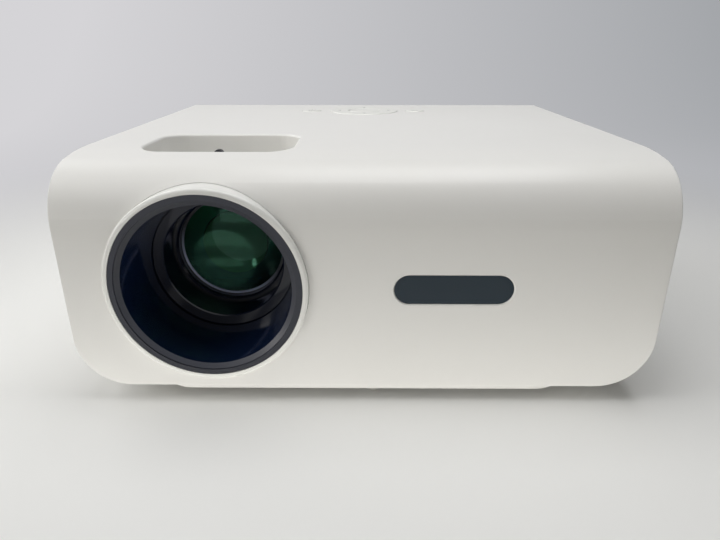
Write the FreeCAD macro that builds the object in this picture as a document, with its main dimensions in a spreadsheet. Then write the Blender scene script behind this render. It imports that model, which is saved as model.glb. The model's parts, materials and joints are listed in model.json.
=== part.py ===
import FreeCAD, Part
import math
import os
from types import SimpleNamespace

import Sketcher

# A table-top LCD video projector with a slim disc drive that opens in its right side.
# Millimetres. X runs to the right as seen from the front, Y from front to back, Z up.
# The origin is under the middle of the machine, on the surface that it stands on.

SIZES = {
    # moulded housing
    "body_width": 240.0,
    "body_depth": 210.0,
    "body_top": 101.6,
    "body_bottom": 7.1,
    "wall": 2.5,
    "roll_radius": 23.4,
    "roll_lead_radius": 127.6,
    "roll_lead_angle": 10.0,
    "bottom_corner_radius": 22.0,
    "edge_radius": 0.7,
    "seam_height": 80.3,
    "lip_height": 1.6,
    "trim_gap": 0.15,
    "overrun": 1.0,
    "post_inset": 12.0,
    "post_end_gap": 9.5,
    "post_radius": 4.2,
    "screw_radius": 1.5,
    "screw_head_radius": 2.8,
    "screw_head_height": 2.0,
    "screw_length": 12.0,
    "screw_seat": 4.0,
    "pilot_spare": 1.0,
    "vent_slot_width": 3.0,
    "vent_pitch": 6.0,
    "vent_front_place": 84.0,
    "vent_rear_gap": 60.0,
    "vent_low": 33.0,
    "vent_high": 73.0,
    # base plate and feet
    "plate_bottom": 5.3,
    "plate_side_inset": 33.0,
    "plate_end_inset": 1.0,
    "plate_corner_radius": 14.0,
    "plate_screw_side": 26.0,
    "plate_screw_end": 18.0,
    "plate_screw_head": 0.8,
    "filter_side_gap": 5.0,
    "filter_depth": 84.0,
    "filter_size": 64.0,
    "filter_thickness": 2.2,
    "filter_rim": 3.0,
    "louvre_rim": 5.0,
    "foot_radius": 8.0,
    "foot_side_inset": 46.0,
    "foot_rear_inset": 20.0,
    "front_foot_offset": 4.4,
    "front_foot_inset": 9.6,
    "front_foot_radius": 3.7,
    "front_pad_height": 1.6,
    "front_foot_gap": 1.2,
    "foot_edge": 0.5,
    "stud_radius": 2.4,
    "stud_length": 16.0,
    "tripod_thread_radius": 3.175,
    "tripod_insert_radius": 5.5,
    "tripod_insert_length": 10.0,
    # lens opening, hood and focusing lens
    "lens_share": -0.2596,
    "lens_height": 52.4,
    "ring_radius": 40.6,
    "ring_proud": 2.5,
    "ring_depth": 14.0,
    "ring_edge_radius": 1.3,
    "hood_radius": 38.2,
    "hood_proud": 2.3,
    "hood_face_width": 2.1,
    "hood_step": 0.4,
    "hood_ledge": 0.3,
    "hood_bevel_depth": 1.3,
    "hood_flange": 4.0,
    "hood_mouth_radius": 33.9,
    "hood_throat_radius": 31.4,
    "hood_depth": 28.0,
    "hood_wall": 2.0,
    "barrel_gap": 0.3,
    "barrel_start_gap": 1.0,
    "barrel_front_bore": 26.4,
    "barrel_rim": 0.5,
    "barrel_glass_depth": 18.0,
    "retainer_length": 2.0,
    "retainer_gap": 0.6,
    "barrel_length": 68.0,
    "barrel_wall": 3.6,
    "sleeve_wall": 2.0,
    "sleeve_gap": 0.3,
    "collar_length": 3.0,
    "focus_ring_depth": 46.0,
    "focus_ring_width": 14.0,
    "focus_ring_wall": 2.2,
    "focus_swing": 28.0,
    "lever_width": 4.4,
    "lever_thickness": 3.0,
    "lever_tip_drop": 4.0,
    "lever_offset": -3.6,
    "front_glass_radius": 25.6,
    "front_glass_thickness": 9.0,
    "front_glass_bulge": 4.0,
    "rear_glass_radius": 20.0,
    "rear_glass_thickness": 6.0,
    "rear_glass_bulge": 1.5,
    "glass_lip": 0.8,
    "glass_gap": 0.1,
    "well_offset": 0.1,
    "well_width": 64.4,
    "well_front": 29.3,
    "well_length": 42.2,
    "well_radius": 10.6,
    "well_wall": 1.5,
    "well_floor_gap": 0.9,
    "well_rim_radius": 1.1,
    "window_side_inset": 84.2,
    "window_height": 51.6,
    "window_width": 47.5,
    "window_tall": 12.3,
    "window_thickness": 2.0,
    "window_recess": 0.4,
    "window_flare": 0.4,
    "eye_radius": 3.0,
    "eye_length": 3.4,
    "ir_board_depth": 6.0,
    "ir_board_inset": 4.0,
    "ir_board_margin": 2.0,
    # keys
    "key_row_rear_gap": 37.0,
    "key_proud": 0.4,
    "key_edge": 0.5,
    "key_gap": 0.25,
    "key_flange_width": 1.2,
    "key_flange_gap": 0.3,
    "key_stem_radius": 2.0,
    "key_travel": 0.6,
    "key_flange": 1.1,
    "pad_radius": 21.5,
    "pad_bore": 9.9,
    "ok_radius": 9.5,
    "small_key_radius": 6.0,
    "power_key_offset": -33.8,
    "back_key_offset": 32.5,
    "key_board_height": 93.8,
    "key_board_margin": 14.0,
    "board_thickness": 1.6,
    "switch_height": 1.0,
    "switch_size": 5.0,
    # light box and lamp
    "box_right_gap": 46.0,
    "box_front": 114.0,
    "box_rear_gap": 8.0,
    "box_top_gap": 2.6,
    "box_sump": 2.8,
    "box_lid": 2.0,
    "box_wall": 2.0,
    "box_cut_front": 118.0,
    "mirror_end_gap": 7.4,
    "mirror_thickness": 3.0,
    "field_lens_gap": 12.0,
    "lcd_gap": 10.0,
    "condenser_gap": 24.0,
    "plate_optic_thickness": 2.0,
    "rib_thickness": 1.5,
    "condenser_gap_above": 1.6,
    "sink_top_gap": 3.2,
    "condenser_thickness": 12.0,
    "condenser_edge": 3.0,
    "sink_base": 4.0,
    "sink_length": 24.0,
    "sink_width": 76.0,
    "sink_fin": 1.4,
    "sink_pitch": 5.2,
    "led_size": 26.0,
    "led_carrier": 1.5,
    "led_chip": 1.0,
    "fan_size": 50.0,
    "fan_depth": 15.0,
    "fan_end_gap": 1.0,
    "fan_strut_gap": 0.5,
    "fan_height": 54.4,
    "fan_bore": 23.4,
    "fan_hub_radius": 9.0,
    "blade_thickness": 1.2,
    "blade_chord": 12.0,
    "blade_pitch": 50.0,
    "blade_root": 3.0,
    "blade_inset": 1.0,
    "fan_clearance": 0.8,
    "strut_thickness": 2.0,
    "strut_width": 3.0,
    "blower_lead": 10.0,
    "blower_size": 50.0,
    "blower_low": 44.0,
    "blower_height": 15.0,
    "blower_inlet_radius": 16.0,
    "blower_wall": 1.5,
    "blower_hub_radius": 9.0,
    "blower_back": 1.0,
    "vane_depth": 5.0,
    "vane_thickness": 0.8,
    # boards and sockets
    "main_board_side_gap": 18.0,
    "main_board_width": 88.0,
    "main_board_length": 55.0,
    "main_board_height": 84.0,
    "main_board_rear_gap": 1.0,
    "board_hole_inset": 5.0,
    "chip_size": 14.0,
    "chip_height": 1.5,
    "power_board_side_gap": 28.0,
    "power_board_width": 100.0,
    "power_board_front": 16.0,
    "power_board_length": 40.0,
    "power_board_height": 16.0,
    "coil_share": 0.48,
    "large_can_share": 0.18,
    "small_can_share": 0.76,
    "coil_width": 28.0,
    "coil_length": 26.0,
    "coil_height": 20.0,
    "core_overhang": 3.0,
    "core_inset": 4.0,
    "large_can_radius": 9.0,
    "large_can_height": 26.0,
    "small_can_radius": 5.0,
    "small_can_height": 16.0,
    "speaker_place": 60.0,
    "speaker_height": 50.0,
    "speaker_radius": 20.0,
    "speaker_depth": 18.0,
    "speaker_magnet": 6.0,
    "speaker_rim": 3.0,
    "rear_panel_left_gap": 14.0,
    "rear_panel_right_gap": 38.0,
    "rear_panel_low": 16.0,
    "rear_panel_high": 94.0,
    "rear_panel_recess": 0.6,
    "socket_depth": 13.0,
    "socket_gap": 0.2,
    "hdmi_place": 16.0,
    "hdmi_width": 15.0,
    "hdmi_height": 5.6,
    "hdmi_tongue": 1.0,
    "usb_place": 34.0,
    "usb_width": 13.2,
    "usb_height": 5.9,
    "usb_tongue": 1.8,
    "card_place": 52.0,
    "card_width": 15.0,
    "card_height": 3.0,
    "card_mouth_width": 12.0,
    "card_back": 2.0,
    "jack_place": 69.0,
    "jack_pitch": 11.0,
    "jack_width": 8.0,
    "jack_height": 6.4,
    "jack_bore": 1.8,
    "jack_nose_length": 3.0,
    "jack_back": 1.0,
    "rear_vent_place": 130.0,
    "rear_vent_low": 34.0,
    "rear_vent_high": 68.0,
    "inlet_place": 16.0,
    "inlet_height": 34.0,
    "inlet_width": 23.0,
    "inlet_tall": 15.0,
    "inlet_depth": 20.0,
    "inlet_mouth_width": 16.4,
    "inlet_mouth_tall": 8.0,
    "inlet_back": 6.0,
    "pin_radius": 1.2,
    "pin_spacing": 8.6,
    "pin_start": 5.0,
    # disc drive
    "drive_low": 80.6,
    "drive_height": 12.7,
    "drive_hanger_inset": 30.0,
    "drive_front": 19.0,
    "drive_width": 128.0,
    "drive_length": 126.0,
    "drive_sheet": 0.8,
    "rail_thickness": 1.2,
    "rail_height": 6.0,
    "rail_lift": 0.3,
    "rail_side_gap": 0.2,
    "slide_gap": 0.3,
    "tray_height": 9.0,
    "tray_lift": 0.5,
    "disc_well_radius": 60.6,
    "disc_well_depth": 3.0,
    "disc_margin": 1.4,
    "tray_floor": 1.2,
    "tray_corner": 3.0,
    "cavity_start": 2.0,
    "cavity_half_width": 36.0,
    "cavity_past_hub": 20.0,
    "finger_dip_radius": 9.0,
    "finger_dip_depth": 0.6,
    "finger_dip_inset": 6.0,
    "motor_radius": 13.5,
    "motor_mount_rim": 1.5,
    "turntable_radius": 15.0,
    "turntable_lift": 0.7,
    "turntable_thickness": 1.7,
    "turntable_gap": 0.8,
    "hub_radius": 7.3,
    "hub_height": 2.0,
    "hub_edge": 1.2,
    "sled_home": 22.6,
    "sled_length": 12.0,
    "sled_thickness": 3.2,
    "sled_past_rods": 6.0,
    "sled_window_width": 24.0,
    "pickup_radius": 4.0,
    "nut_reach": 2.2,
    "rod_offset": 24.0,
    "rod_radius": 1.0,
    "lead_screw_offset": 31.0,
    "lead_screw_radius": 1.1,
    "feed_motor_radius": 1.8,
    "feed_motor_start": 6.0,
    "eject_offset": 45.0,
    "eject_width": 8.0,
    "eject_height": 3.0,
    "eject_travel": 0.6,
    "eject_rest_gap": 0.1,
    "eject_corner": 0.6,
    "pin_hole_offset": 14.0,
    "pin_hole_radius": 0.7,
}

document = FreeCAD.newDocument("Projector")


class Size:
    """A length: its formula in the document, and its value for a sketch's first layout."""

    def __init__(self, formula, value):
        self.formula = formula
        self.value = value

    def _join(self, sign, other, value):
        return Size(f"({self.formula} {sign} {as_size(other).formula})", value)

    def __add__(self, other):
        return self._join("+", other, self.value + as_size(other).value)

    def __sub__(self, other):
        return self._join("-", other, self.value - as_size(other).value)

    def __mul__(self, other):
        return self._join("*", other, self.value * as_size(other).value)

    def __truediv__(self, other):
        return self._join("/", other, self.value / as_size(other).value)

    def __rsub__(self, other):
        return as_size(other) - self

    def __neg__(self):
        return as_size(0.0) - self

    __radd__ = __add__
    __rmul__ = __mul__


def as_size(number):
    return number if isinstance(number, Size) else Size(f"({number!r})", float(number))


def make_sheet():
    sheet = document.addObject("Spreadsheet::Sheet", "Sizes")
    for row, (name, value) in enumerate(SIZES.items(), 1):
        sheet.set(f"A{row}", name)
        sheet.set(f"B{row}", str(value))
        sheet.setAlias(f"B{row}", name)
    document.recompute()
    return SimpleNamespace(**{name: Size(f"Sizes.{name}", value) for name, value in SIZES.items()})


s = make_sheet()
pieces = {}


# ---- drawing helpers ----

def piece(label, shape):
    """Name a finished sub-part."""
    shape.Label = label
    pieces[label] = shape
    return shape


def bind(thing, **sizes):
    for name, size in sizes.items():
        thing.setExpression(name, as_size(size).formula)


def place(thing, x=0.0, y=0.0, z=0.0):
    for axis, size in zip("xyz", (x, y, z)):
        thing.setExpression(f"Placement.Base.{axis}", as_size(size).formula)


TURNS = {
    "X": FreeCAD.Rotation(FreeCAD.Vector(0, 1, 0), 90),
    "Y": FreeCAD.Rotation(FreeCAD.Vector(1, 0, 0), -90),
    "Z": FreeCAD.Rotation(),
}


def box(x, y, z):
    """A block between pairs of low and high limits."""
    block = document.addObject("Part::Box", "Block")
    bind(block, Length=x[1] - x[0], Width=y[1] - y[0], Height=z[1] - z[0])
    place(block, x[0], y[0], z[0])
    return block


def rod(axis, start, radius, length):
    """A cylinder from its start point along an axis."""
    cylinder = document.addObject("Part::Cylinder", "Rod")
    bind(cylinder, Radius=radius, Height=length)
    cylinder.Placement = FreeCAD.Placement(FreeCAD.Vector(), TURNS[axis])
    place(cylinder, *start)
    return cylinder


def fuse(*shapes):
    joined = document.addObject("Part::MultiFuse", "Fusion")
    joined.Shapes = list(shapes)
    return joined


def group(*shapes):
    """Separate solids that are kept together as one sub-part."""
    together = document.addObject("Part::Compound", "Group")
    together.Links = list(shapes)
    return together


def cut(base, *tools):
    result = document.addObject("Part::Cut", "Cut")
    result.Base = base
    result.Tool = tools[0] if len(tools) == 1 else fuse(*tools)
    return result


def common(*shapes):
    overlap = document.addObject("Part::MultiCommon", "Common")
    overlap.Shapes = list(shapes)
    return overlap


def spread(middle, width):
    """The low and high limits of a width about its middle."""
    return middle - width / 2, middle + width / 2


def origin_plane(body, role):
    return next(plane for plane in body.Origin.OriginFeatures if plane.Role == role)


def new_body(name):
    return document.addObject("PartDesign::Body", name)


def new_sketch(body, role):
    sketch = body.newObject("Sketcher::SketchObject", "Profile")
    sketch.AttachmentSupport = [(origin_plane(body, role), "")]
    sketch.MapMode = "FlatFace"
    return sketch


def set_distance(sketch, kind, *where, size):
    number = sketch.addConstraint(Sketcher.Constraint(kind, *where, as_size(size).value))
    sketch.setExpression(f"Constraints[{number}]", as_size(size).formula)


def draw_polygon(sketch, points):
    """Straight edges through points whose places are bound to the sheet."""
    corners = [FreeCAD.Vector(as_size(u).value, as_size(v).value, 0) for u, v in points]
    count = len(corners)
    first = sketch.GeometryCount
    for number, corner in enumerate(corners):
        sketch.addGeometry(Part.LineSegment(corner, corners[(number + 1) % count]))
    for number, (u, v) in enumerate(points):
        line = first + number
        following = first + (number + 1) % count
        sketch.addConstraint(Sketcher.Constraint("Coincident", line, 2, following, 1))
        set_distance(sketch, "DistanceX", -1, 1, line, 1, size=u)
        set_distance(sketch, "DistanceY", -1, 1, line, 1, size=v)


SPIN_PLANES = {"X": ("XY_Plane", "H_Axis"), "Y": ("YZ_Plane", "H_Axis"), "Z": ("XZ_Plane", "V_Axis")}


def turned(axis, start, profile):
    """A body of revolution: profile points are (distance along the axis, radius)."""
    body = new_body("Turned")
    role, spin_axis = SPIN_PLANES[axis]
    sketch = new_sketch(body, role)
    draw_polygon(sketch, [(r, a) for a, r in profile] if axis == "Z" else profile)
    spin = body.newObject("PartDesign::Revolution", "Spin")
    spin.Profile = sketch
    spin.ReferenceAxis = (sketch, [spin_axis])
    spin.Angle = 360
    place(body, *start)
    return body


def ring(axis, start, outer, inner, length):
    return turned(axis, start, [(0, inner), (length, inner), (length, outer), (0, outer)])


PAD_PLANES = {"X": "YZ_Plane", "Y": "XZ_Plane", "Z": "XY_Plane"}


def padded(axis, low, high, points):
    """A polygon, in the two other axes, pushed from low to high along an axis."""
    body = new_body("Padded")
    sketch = new_sketch(body, PAD_PLANES[axis])
    draw_polygon(sketch, points)
    pad = body.newObject("PartDesign::Pad", "Pad")
    pad.Profile = sketch
    bind(pad, Length=high - low)
    start = {"X": (low, 0, 0), "Y": (0, high, 0), "Z": (0, 0, low)}[axis]
    place(body, *start)
    return body


def chosen_edges(shape, test):
    return [f"Edge{number}" for number, edge in enumerate(shape.Edges, 1) if test(edge)]


def soften(body, radius, test, kind="Fillet"):
    """Round (or chamfer) the edges of a body's last feature that pass a test."""
    document.recompute()
    last = body.Tip
    feature = body.newObject(f"PartDesign::{kind}", kind)
    feature.Base = (last, chosen_edges(last.Shape, test))
    bind(feature, **{"Radius" if kind == "Fillet" else "Size": radius})
    return body


def runs_along(axis):
    """Test for straight edges along an axis."""
    others = [name for name in "XYZ" if name != axis]

    def test(edge):
        limits = edge.BoundBox
        return all(getattr(limits, f"{name}Length") < 1e-3 for name in others)
    return test


def rounded_box(axis, radius, x, y, z):
    """A block whose four edges along an axis are rounded."""
    body = new_body("RoundedBlock")
    block = body.newObject("PartDesign::AdditiveBox", "Box")
    bind(block, Length=x[1] - x[0], Width=y[1] - y[0], Height=z[1] - z[0])
    place(body, x[0], y[0], z[0])
    return soften(body, radius, runs_along(axis))


# ---- shared places ----

front = s.ring_proud / 2 - s.body_depth / 2
rear = front + s.body_depth
right = s.body_width / 2
left = -right
floor = s.body_bottom + s.wall
ceiling = s.body_top - s.wall
far = s.body_width


def depth(distance):
    """A place at a distance behind the front face."""
    return front + distance


# ---- moulded housing ----

def housing_form(inset):
    """The outside of the housing, or the same form a little smaller all round."""
    low, high = s.body_bottom + inset, s.body_top - inset
    near, back = front + inset, rear - inset
    roll, lead = s.roll_radius - inset, s.roll_lead_radius - inset
    lean = math.radians(s.roll_lead_angle.value)
    roll_y = (front + s.roll_radius).value
    reach = s.roll_lead_radius.value - s.roll_radius.value
    lead_y = roll_y + reach * math.sin(lean)
    lead_z = s.body_top.value - s.roll_lead_radius.value
    roll_z = lead_z + reach * math.cos(lean)
    body = new_body("HousingForm")
    sketch = new_sketch(body, "YZ_Plane")
    point = FreeCAD.Vector
    up = point(0, 0, 1)
    bend = math.pi / 2 + lean
    lead_centre, roll_centre = point(lead_y, lead_z, 0), point(roll_y, roll_z, 0)
    sketch.addGeometry([
        Part.LineSegment(point(back.value, low.value, 0), point(back.value, high.value, 0)),
        Part.LineSegment(point(back.value, high.value, 0), point(lead_y, high.value, 0)),
        Part.ArcOfCircle(Part.Circle(lead_centre, up, lead.value), math.pi / 2, bend),
        Part.ArcOfCircle(Part.Circle(roll_centre, up, roll.value), bend, math.pi),
        Part.LineSegment(point(near.value, roll_z, 0), point(near.value, low.value, 0)),
        Part.LineSegment(point(near.value, low.value, 0), point(back.value, low.value, 0)),
    ])
    rule = Sketcher.Constraint
    sketch.addConstraint([
        rule("Coincident", 0, 2, 1, 1), rule("Tangent", 1, 2, 2, 1), rule("Tangent", 2, 2, 3, 1),
        rule("Tangent", 3, 2, 4, 1), rule("Coincident", 4, 2, 5, 1), rule("Coincident", 5, 2, 0, 1),
        rule("Vertical", 0), rule("Horizontal", 1), rule("Vertical", 4), rule("Horizontal", 5),
    ])
    set_distance(sketch, "DistanceX", -1, 1, 0, 1, size=back)
    set_distance(sketch, "DistanceY", -1, 1, 0, 1, size=low)
    set_distance(sketch, "DistanceY", -1, 1, 0, 2, size=high)
    set_distance(sketch, "DistanceX", -1, 1, 4, 1, size=near)
    set_distance(sketch, "Radius", 2, size=lead)
    set_distance(sketch, "Radius", 3, size=roll)
    sine = Size("sin(Sizes.roll_lead_angle * 1 deg)", math.sin(lean))
    set_distance(sketch, "DistanceX", 2, 2, 2, 1, size=lead * sine)
    pad = body.newObject("PartDesign::Pad", "Pad")
    pad.Profile = sketch
    pad.Midplane = True
    bind(pad, Length=s.body_width - 2 * inset)

    def is_bottom_corner(edge):
        return runs_along("Y")(edge) and abs(edge.BoundBox.ZMax - low.value) < 1e-3
    return soften(body, s.bottom_corner_radius - inset, is_bottom_corner)


def round_outline(form):
    """Break the sharp edges round the front face and along the two side faces."""
    document.recompute()

    def is_outline(edge):
        limits = edge.BoundBox
        at_side = limits.XLength < 1e-3 and abs(abs(limits.XMin) - right.value) < 1e-3
        at_front = limits.YLength < 1e-3 and abs(limits.YMin - front.value) < 1e-3
        at_rear = limits.YMin > rear.value - 1e-3
        corner_line = runs_along("Y")(edge) and limits.ZMax < s.seam_height.value
        brow_line = at_front and not at_side and limits.ZMin > s.lens_height.value
        return (at_side or at_front) and not (at_rear or corner_line or brow_line)
    return soften(form, s.edge_radius, is_outline)


post_x = right - s.post_inset
post_places = [(side * post_x, y) for side in (-1, 1)
               for y in (front + s.post_end_gap, rear - s.post_end_gap)]
lens = (s.body_width * s.lens_share, s.lens_height)
focus_bore = s.hood_throat_radius + s.sleeve_wall + s.slide_gap
focus_outer = focus_bore + s.focus_ring_wall
well_x = spread(lens[0] + s.well_offset, s.well_width)
well_y = (depth(s.well_front), depth(s.well_front + s.well_length))
well_base = lens[1] + focus_outer + s.well_floor_gap + s.well_wall
key_y = rear - s.key_row_rear_gap
window_middle = right - s.window_side_inset
window_x = spread(window_middle, s.window_width)
window_z = spread(s.window_height, s.window_tall)
panel_x = (left + s.rear_panel_left_gap, right - s.rear_panel_right_gap)
panel_z = (s.rear_panel_low, s.rear_panel_high)
drive_y = (depth(s.drive_front), depth(s.drive_front + s.drive_width))
drive_x = (right - s.wall - s.trim_gap - s.drive_length, right - s.wall - s.trim_gap)
drive_z = (s.drive_low, s.drive_low + s.drive_height)
box_y = (depth(s.box_front), rear - s.box_rear_gap)
box_middle = (box_y[0] + box_y[1]) / 2
box_top = s.drive_low - s.box_top_gap
box_low = 2 * s.lens_height - box_top - s.box_sump
box_run = box_y[1] - depth(s.box_cut_front)
box_x = (lens[0] - box_run / 2, right - s.box_right_gap)
board_x = (left + s.main_board_side_gap, left + s.main_board_side_gap + s.main_board_width)
board_rear = rear - s.wall - s.main_board_rear_gap
board_y = (board_rear - s.main_board_length, board_rear)
board_hole_y = (board_y[0] + s.board_hole_inset, rear - s.socket_depth - s.board_hole_inset)


def widen(limits, gap):
    return limits[0] - gap, limits[1] + gap


def sink_well(form):
    """Sink the focus well into the top of the housing form and round its rim."""
    pocket = form.newObject("PartDesign::SubtractiveBox", "Well")
    bind(pocket, Length=s.well_width, Width=s.well_length, Height=s.body_top + s.wall - well_base)
    place(pocket, well_x[0], well_y[0], well_base)
    margin = s.overrun.value

    def is_near_well(limits):
        near_x = widen([x.value for x in well_x], margin)
        near_y = widen([y.value for y in well_y], margin)
        return (limits.XMin > near_x[0] and limits.XMax < near_x[1]
                and limits.YMin > near_y[0] and limits.YMax < near_y[1])

    def is_corner(edge):
        return is_near_well(edge.BoundBox) and runs_along("Z")(edge)

    def is_rim(edge):
        return is_near_well(edge.BoundBox) and edge.BoundBox.ZMin > s.body_top.value - s.wall.value
    return soften(soften(form, s.well_radius, is_corner), s.well_rim_radius, is_rim)


def housing_openings():
    """What the lens, the keys, the tray and the rear panel pass through."""
    lens_hole = rod("Y", (lens[0], front - s.wall, lens[1]), s.ring_radius + s.trim_gap,
                    s.ring_depth + s.roll_radius)
    panel_hole = box(widen(panel_x, s.trim_gap), (rear - 2 * s.wall, rear + s.wall),
                     widen(panel_z, s.trim_gap))
    tray_slot = box((right - 2 * s.wall, right + s.wall), widen(drive_y, s.slide_gap),
                    widen(drive_z, s.slide_gap))
    return lens_hole, panel_hole, tray_slot


def top_shell(outer, inner, rebate, openings):
    above = box((-far, far), (-far, far), (s.seam_height, s.body_top + far))
    shell = common(cut(outer, inner), above)
    posts = [rod("Z", (x, y, s.seam_height), s.post_radius, s.body_top - s.seam_height)
             for x, y in post_places]
    corner = 3 * s.post_radius
    hangers = [rod("Z", (x, y, drive_z[1]), s.post_radius, s.body_top - drive_z[1])
               for x in (drive_x[0] + corner, drive_x[1] - corner)
               for y in (drive_y[0] + corner, drive_y[1] - s.drive_hanger_inset)]
    hangers += [rod("Z", (x, key_y, s.key_board_height + s.board_thickness), s.post_radius / 2,
                    ceiling - s.key_board_height) for x in widen(key_board_x, -s.wall)]
    board_left = board_x[0] + s.board_hole_inset
    hangers += [rod("Z", (x, y, s.main_board_height + s.board_thickness), s.post_radius / 2,
                    ceiling - s.main_board_height) for y in board_hole_y
                for x in (board_left, key_board_x[0] - 2 * s.post_radius)]
    solid = fuse(shell, common(outer, fuse(*posts, *hangers)))
    keys = [rod("Z", (x, key_y, ceiling - s.wall), radius + s.key_gap, 3 * s.wall)
            for x, radius in ((0, s.pad_radius), (s.power_key_offset, s.small_key_radius),
                              (s.back_key_offset, s.small_key_radius))]
    groove = common(rebate, box((-far, far), (-far, far),
                                (s.seam_height, s.seam_height + s.lip_height + s.trim_gap)))
    pilots = [rod("Z", (x, y, s.seam_height), s.screw_radius + s.trim_gap,
                  s.screw_length - s.screw_seat + s.pilot_spare) for x, y in post_places]
    groove_ring = cut(groove, inner)
    return piece("top_shell", cut(solid, groove_ring, *keys, *pilots, *openings))


key_board_x = (s.power_key_offset - s.key_board_margin, s.back_key_offset + s.key_board_margin)


def vent_slots():
    """Upright air slots: intake on the left, speaker and exhaust on the right."""
    fields = ((left, rear - s.vent_rear_gap, 9), (left, depth(s.vent_front_place), 5),
              (right, depth(s.speaker_place), 6), (right, box_middle, 8))
    slots = []
    for side, middle, count in fields:
        for number in range(count):
            y = middle + (number - (count - 1) / 2) * s.vent_pitch
            slots.append(box(spread(side, 4 * s.wall), spread(y, s.vent_slot_width),
                             (s.vent_low, s.vent_high)))
    return slots


box_foot_inset = 2 * s.post_radius
engine_feet = [(box_x[0] + 2 * box_foot_inset, box_y[0] + box_foot_inset)]
engine_feet += [(box_x[1] - box_foot_inset, y) for y in widen(box_y, -box_foot_inset)]
engine_feet += [(box_x[0] + box_run + 3 * box_foot_inset, box_y[1] - box_foot_inset)]
power_x = (right - s.power_board_side_gap - s.power_board_width, right - s.power_board_side_gap)
power_y = (depth(s.power_board_front), depth(s.power_board_front + s.power_board_length))
power_feet = [(x, y) for x in widen(power_x, -s.board_hole_inset)
              for y in widen(power_y, -s.board_hole_inset)]
foot_x = s.front_foot_offset
foot_y = depth(s.plate_end_inset + s.front_foot_inset)
filter_left = left + s.plate_side_inset + s.filter_side_gap
filter_x = (filter_left, filter_left + s.filter_size)
filter_y = spread(depth(s.filter_depth), s.filter_size)


def lower_shell(outer, inner, rebate, openings):
    below = box((-far, far), (-far, far), (-far, s.seam_height))
    shell = common(cut(outer, inner), below)
    lip_band = box((-far, far), (-far, far), (s.seam_height - 2 * s.lip_height, s.seam_height + s.lip_height))
    lip = common(cut(rebate, inner), lip_band)
    posts = [rod("Z", (x, y, s.body_bottom), s.post_radius, s.seam_height - s.body_bottom)
             for x, y in post_places]
    props = [rod("Z", (x, y, floor), s.post_radius, box_low - floor) for x, y in engine_feet]
    props += [rod("Z", (x, y, floor), s.post_radius, s.power_board_height - floor) for x, y in power_feet]
    socket_radius = s.tripod_insert_radius + s.wall
    sockets = [rod("Z", (0, 0, s.body_bottom), socket_radius, s.tripod_insert_length),
               rod("Z", (foot_x, foot_y, s.body_bottom), s.stud_radius + s.wall, s.stud_length / 2)]
    solid = fuse(shell, lip, common(outer, fuse(*posts)), *props, *sockets)
    wells = [rod("Z", (x, y, -s.wall), s.screw_head_radius + s.trim_gap,
                 s.seam_height - s.screw_seat + s.wall) for x, y in post_places]
    pilots = [rod("Z", (x, y, floor), s.screw_radius + s.trim_gap, far) for x, y in post_places]
    insert = rod("Z", (0, 0, 0), s.tripod_insert_radius, s.plate_bottom + s.tripod_insert_length)
    stud = rod("Z", (foot_x, foot_y, 0), s.stud_radius + s.trim_gap, s.seam_height / 2)
    pilots += [rod("Z", (x, y, 0), s.screw_radius + s.trim_gap, floor + s.pilot_spare)
               for x, y in plate_screws()]
    air = box(widen(filter_x, -s.filter_rim), widen(filter_y, -s.filter_rim), (0, floor + s.wall))
    seat = box(filter_x, filter_y, (0, s.body_bottom + s.filter_thickness - s.wall / 2))
    trimmed = cut(solid, *wells, *pilots, insert, stud, air, seat, *window_cutters(), *openings)
    return piece("lower_shell", cut(trimmed, *vent_slots()))


def window_cutters():
    """The window's opening, and the flare round its front rim."""
    def cutter(gap, end):
        return rounded_box("Y", s.window_tall / 2 + gap - s.trim_gap / 8, widen(window_x, gap),
                           (front - s.wall, end), widen(window_z, gap))
    flare = cutter(s.trim_gap / 2 + s.window_flare, front + s.window_flare)
    flare_end = s.wall.value + s.window_flare.value - 1e-3
    soften(flare, s.window_flare - s.trim_gap / 8, lambda edge: edge.BoundBox.YMin > flare_end, "Chamfer")
    return cutter(s.trim_gap / 2, front + 2 * s.wall), flare


def base_plate(lens_hole):
    x = (left + s.plate_side_inset, right - s.plate_side_inset)
    y = (depth(s.plate_end_inset), rear - s.plate_end_inset)
    plate = rounded_box("Z", s.plate_corner_radius, x, y, (s.plate_bottom, s.body_bottom))
    louvres = [box(widen(filter_x, -s.louvre_rim),
                   spread(depth(s.filter_depth) + number * s.vent_pitch, s.vent_slot_width),
                   (0, s.body_bottom + s.wall)) for number in range(-4, 5)]
    tripod = rod("Z", (0, 0, 0), s.tripod_insert_radius, s.body_bottom + s.wall)
    stud = rod("Z", (foot_x, foot_y, 0), s.stud_radius + s.trim_gap, s.body_bottom + s.wall)
    screws = [rod("Z", (px, py, 0), s.screw_radius + s.trim_gap, s.body_bottom + s.wall)
              for px, py in plate_screws()]
    return piece("base_plate", cut(plate, *louvres, tripod, stud, *screws, lens_hole))


def plate_screws():
    x, y = right - s.plate_side_inset - s.plate_screw_side, s.plate_end_inset + s.plate_screw_end
    return [(side * x, end) for side in (-1, 1) for end in (depth(y), rear - y)]


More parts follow.
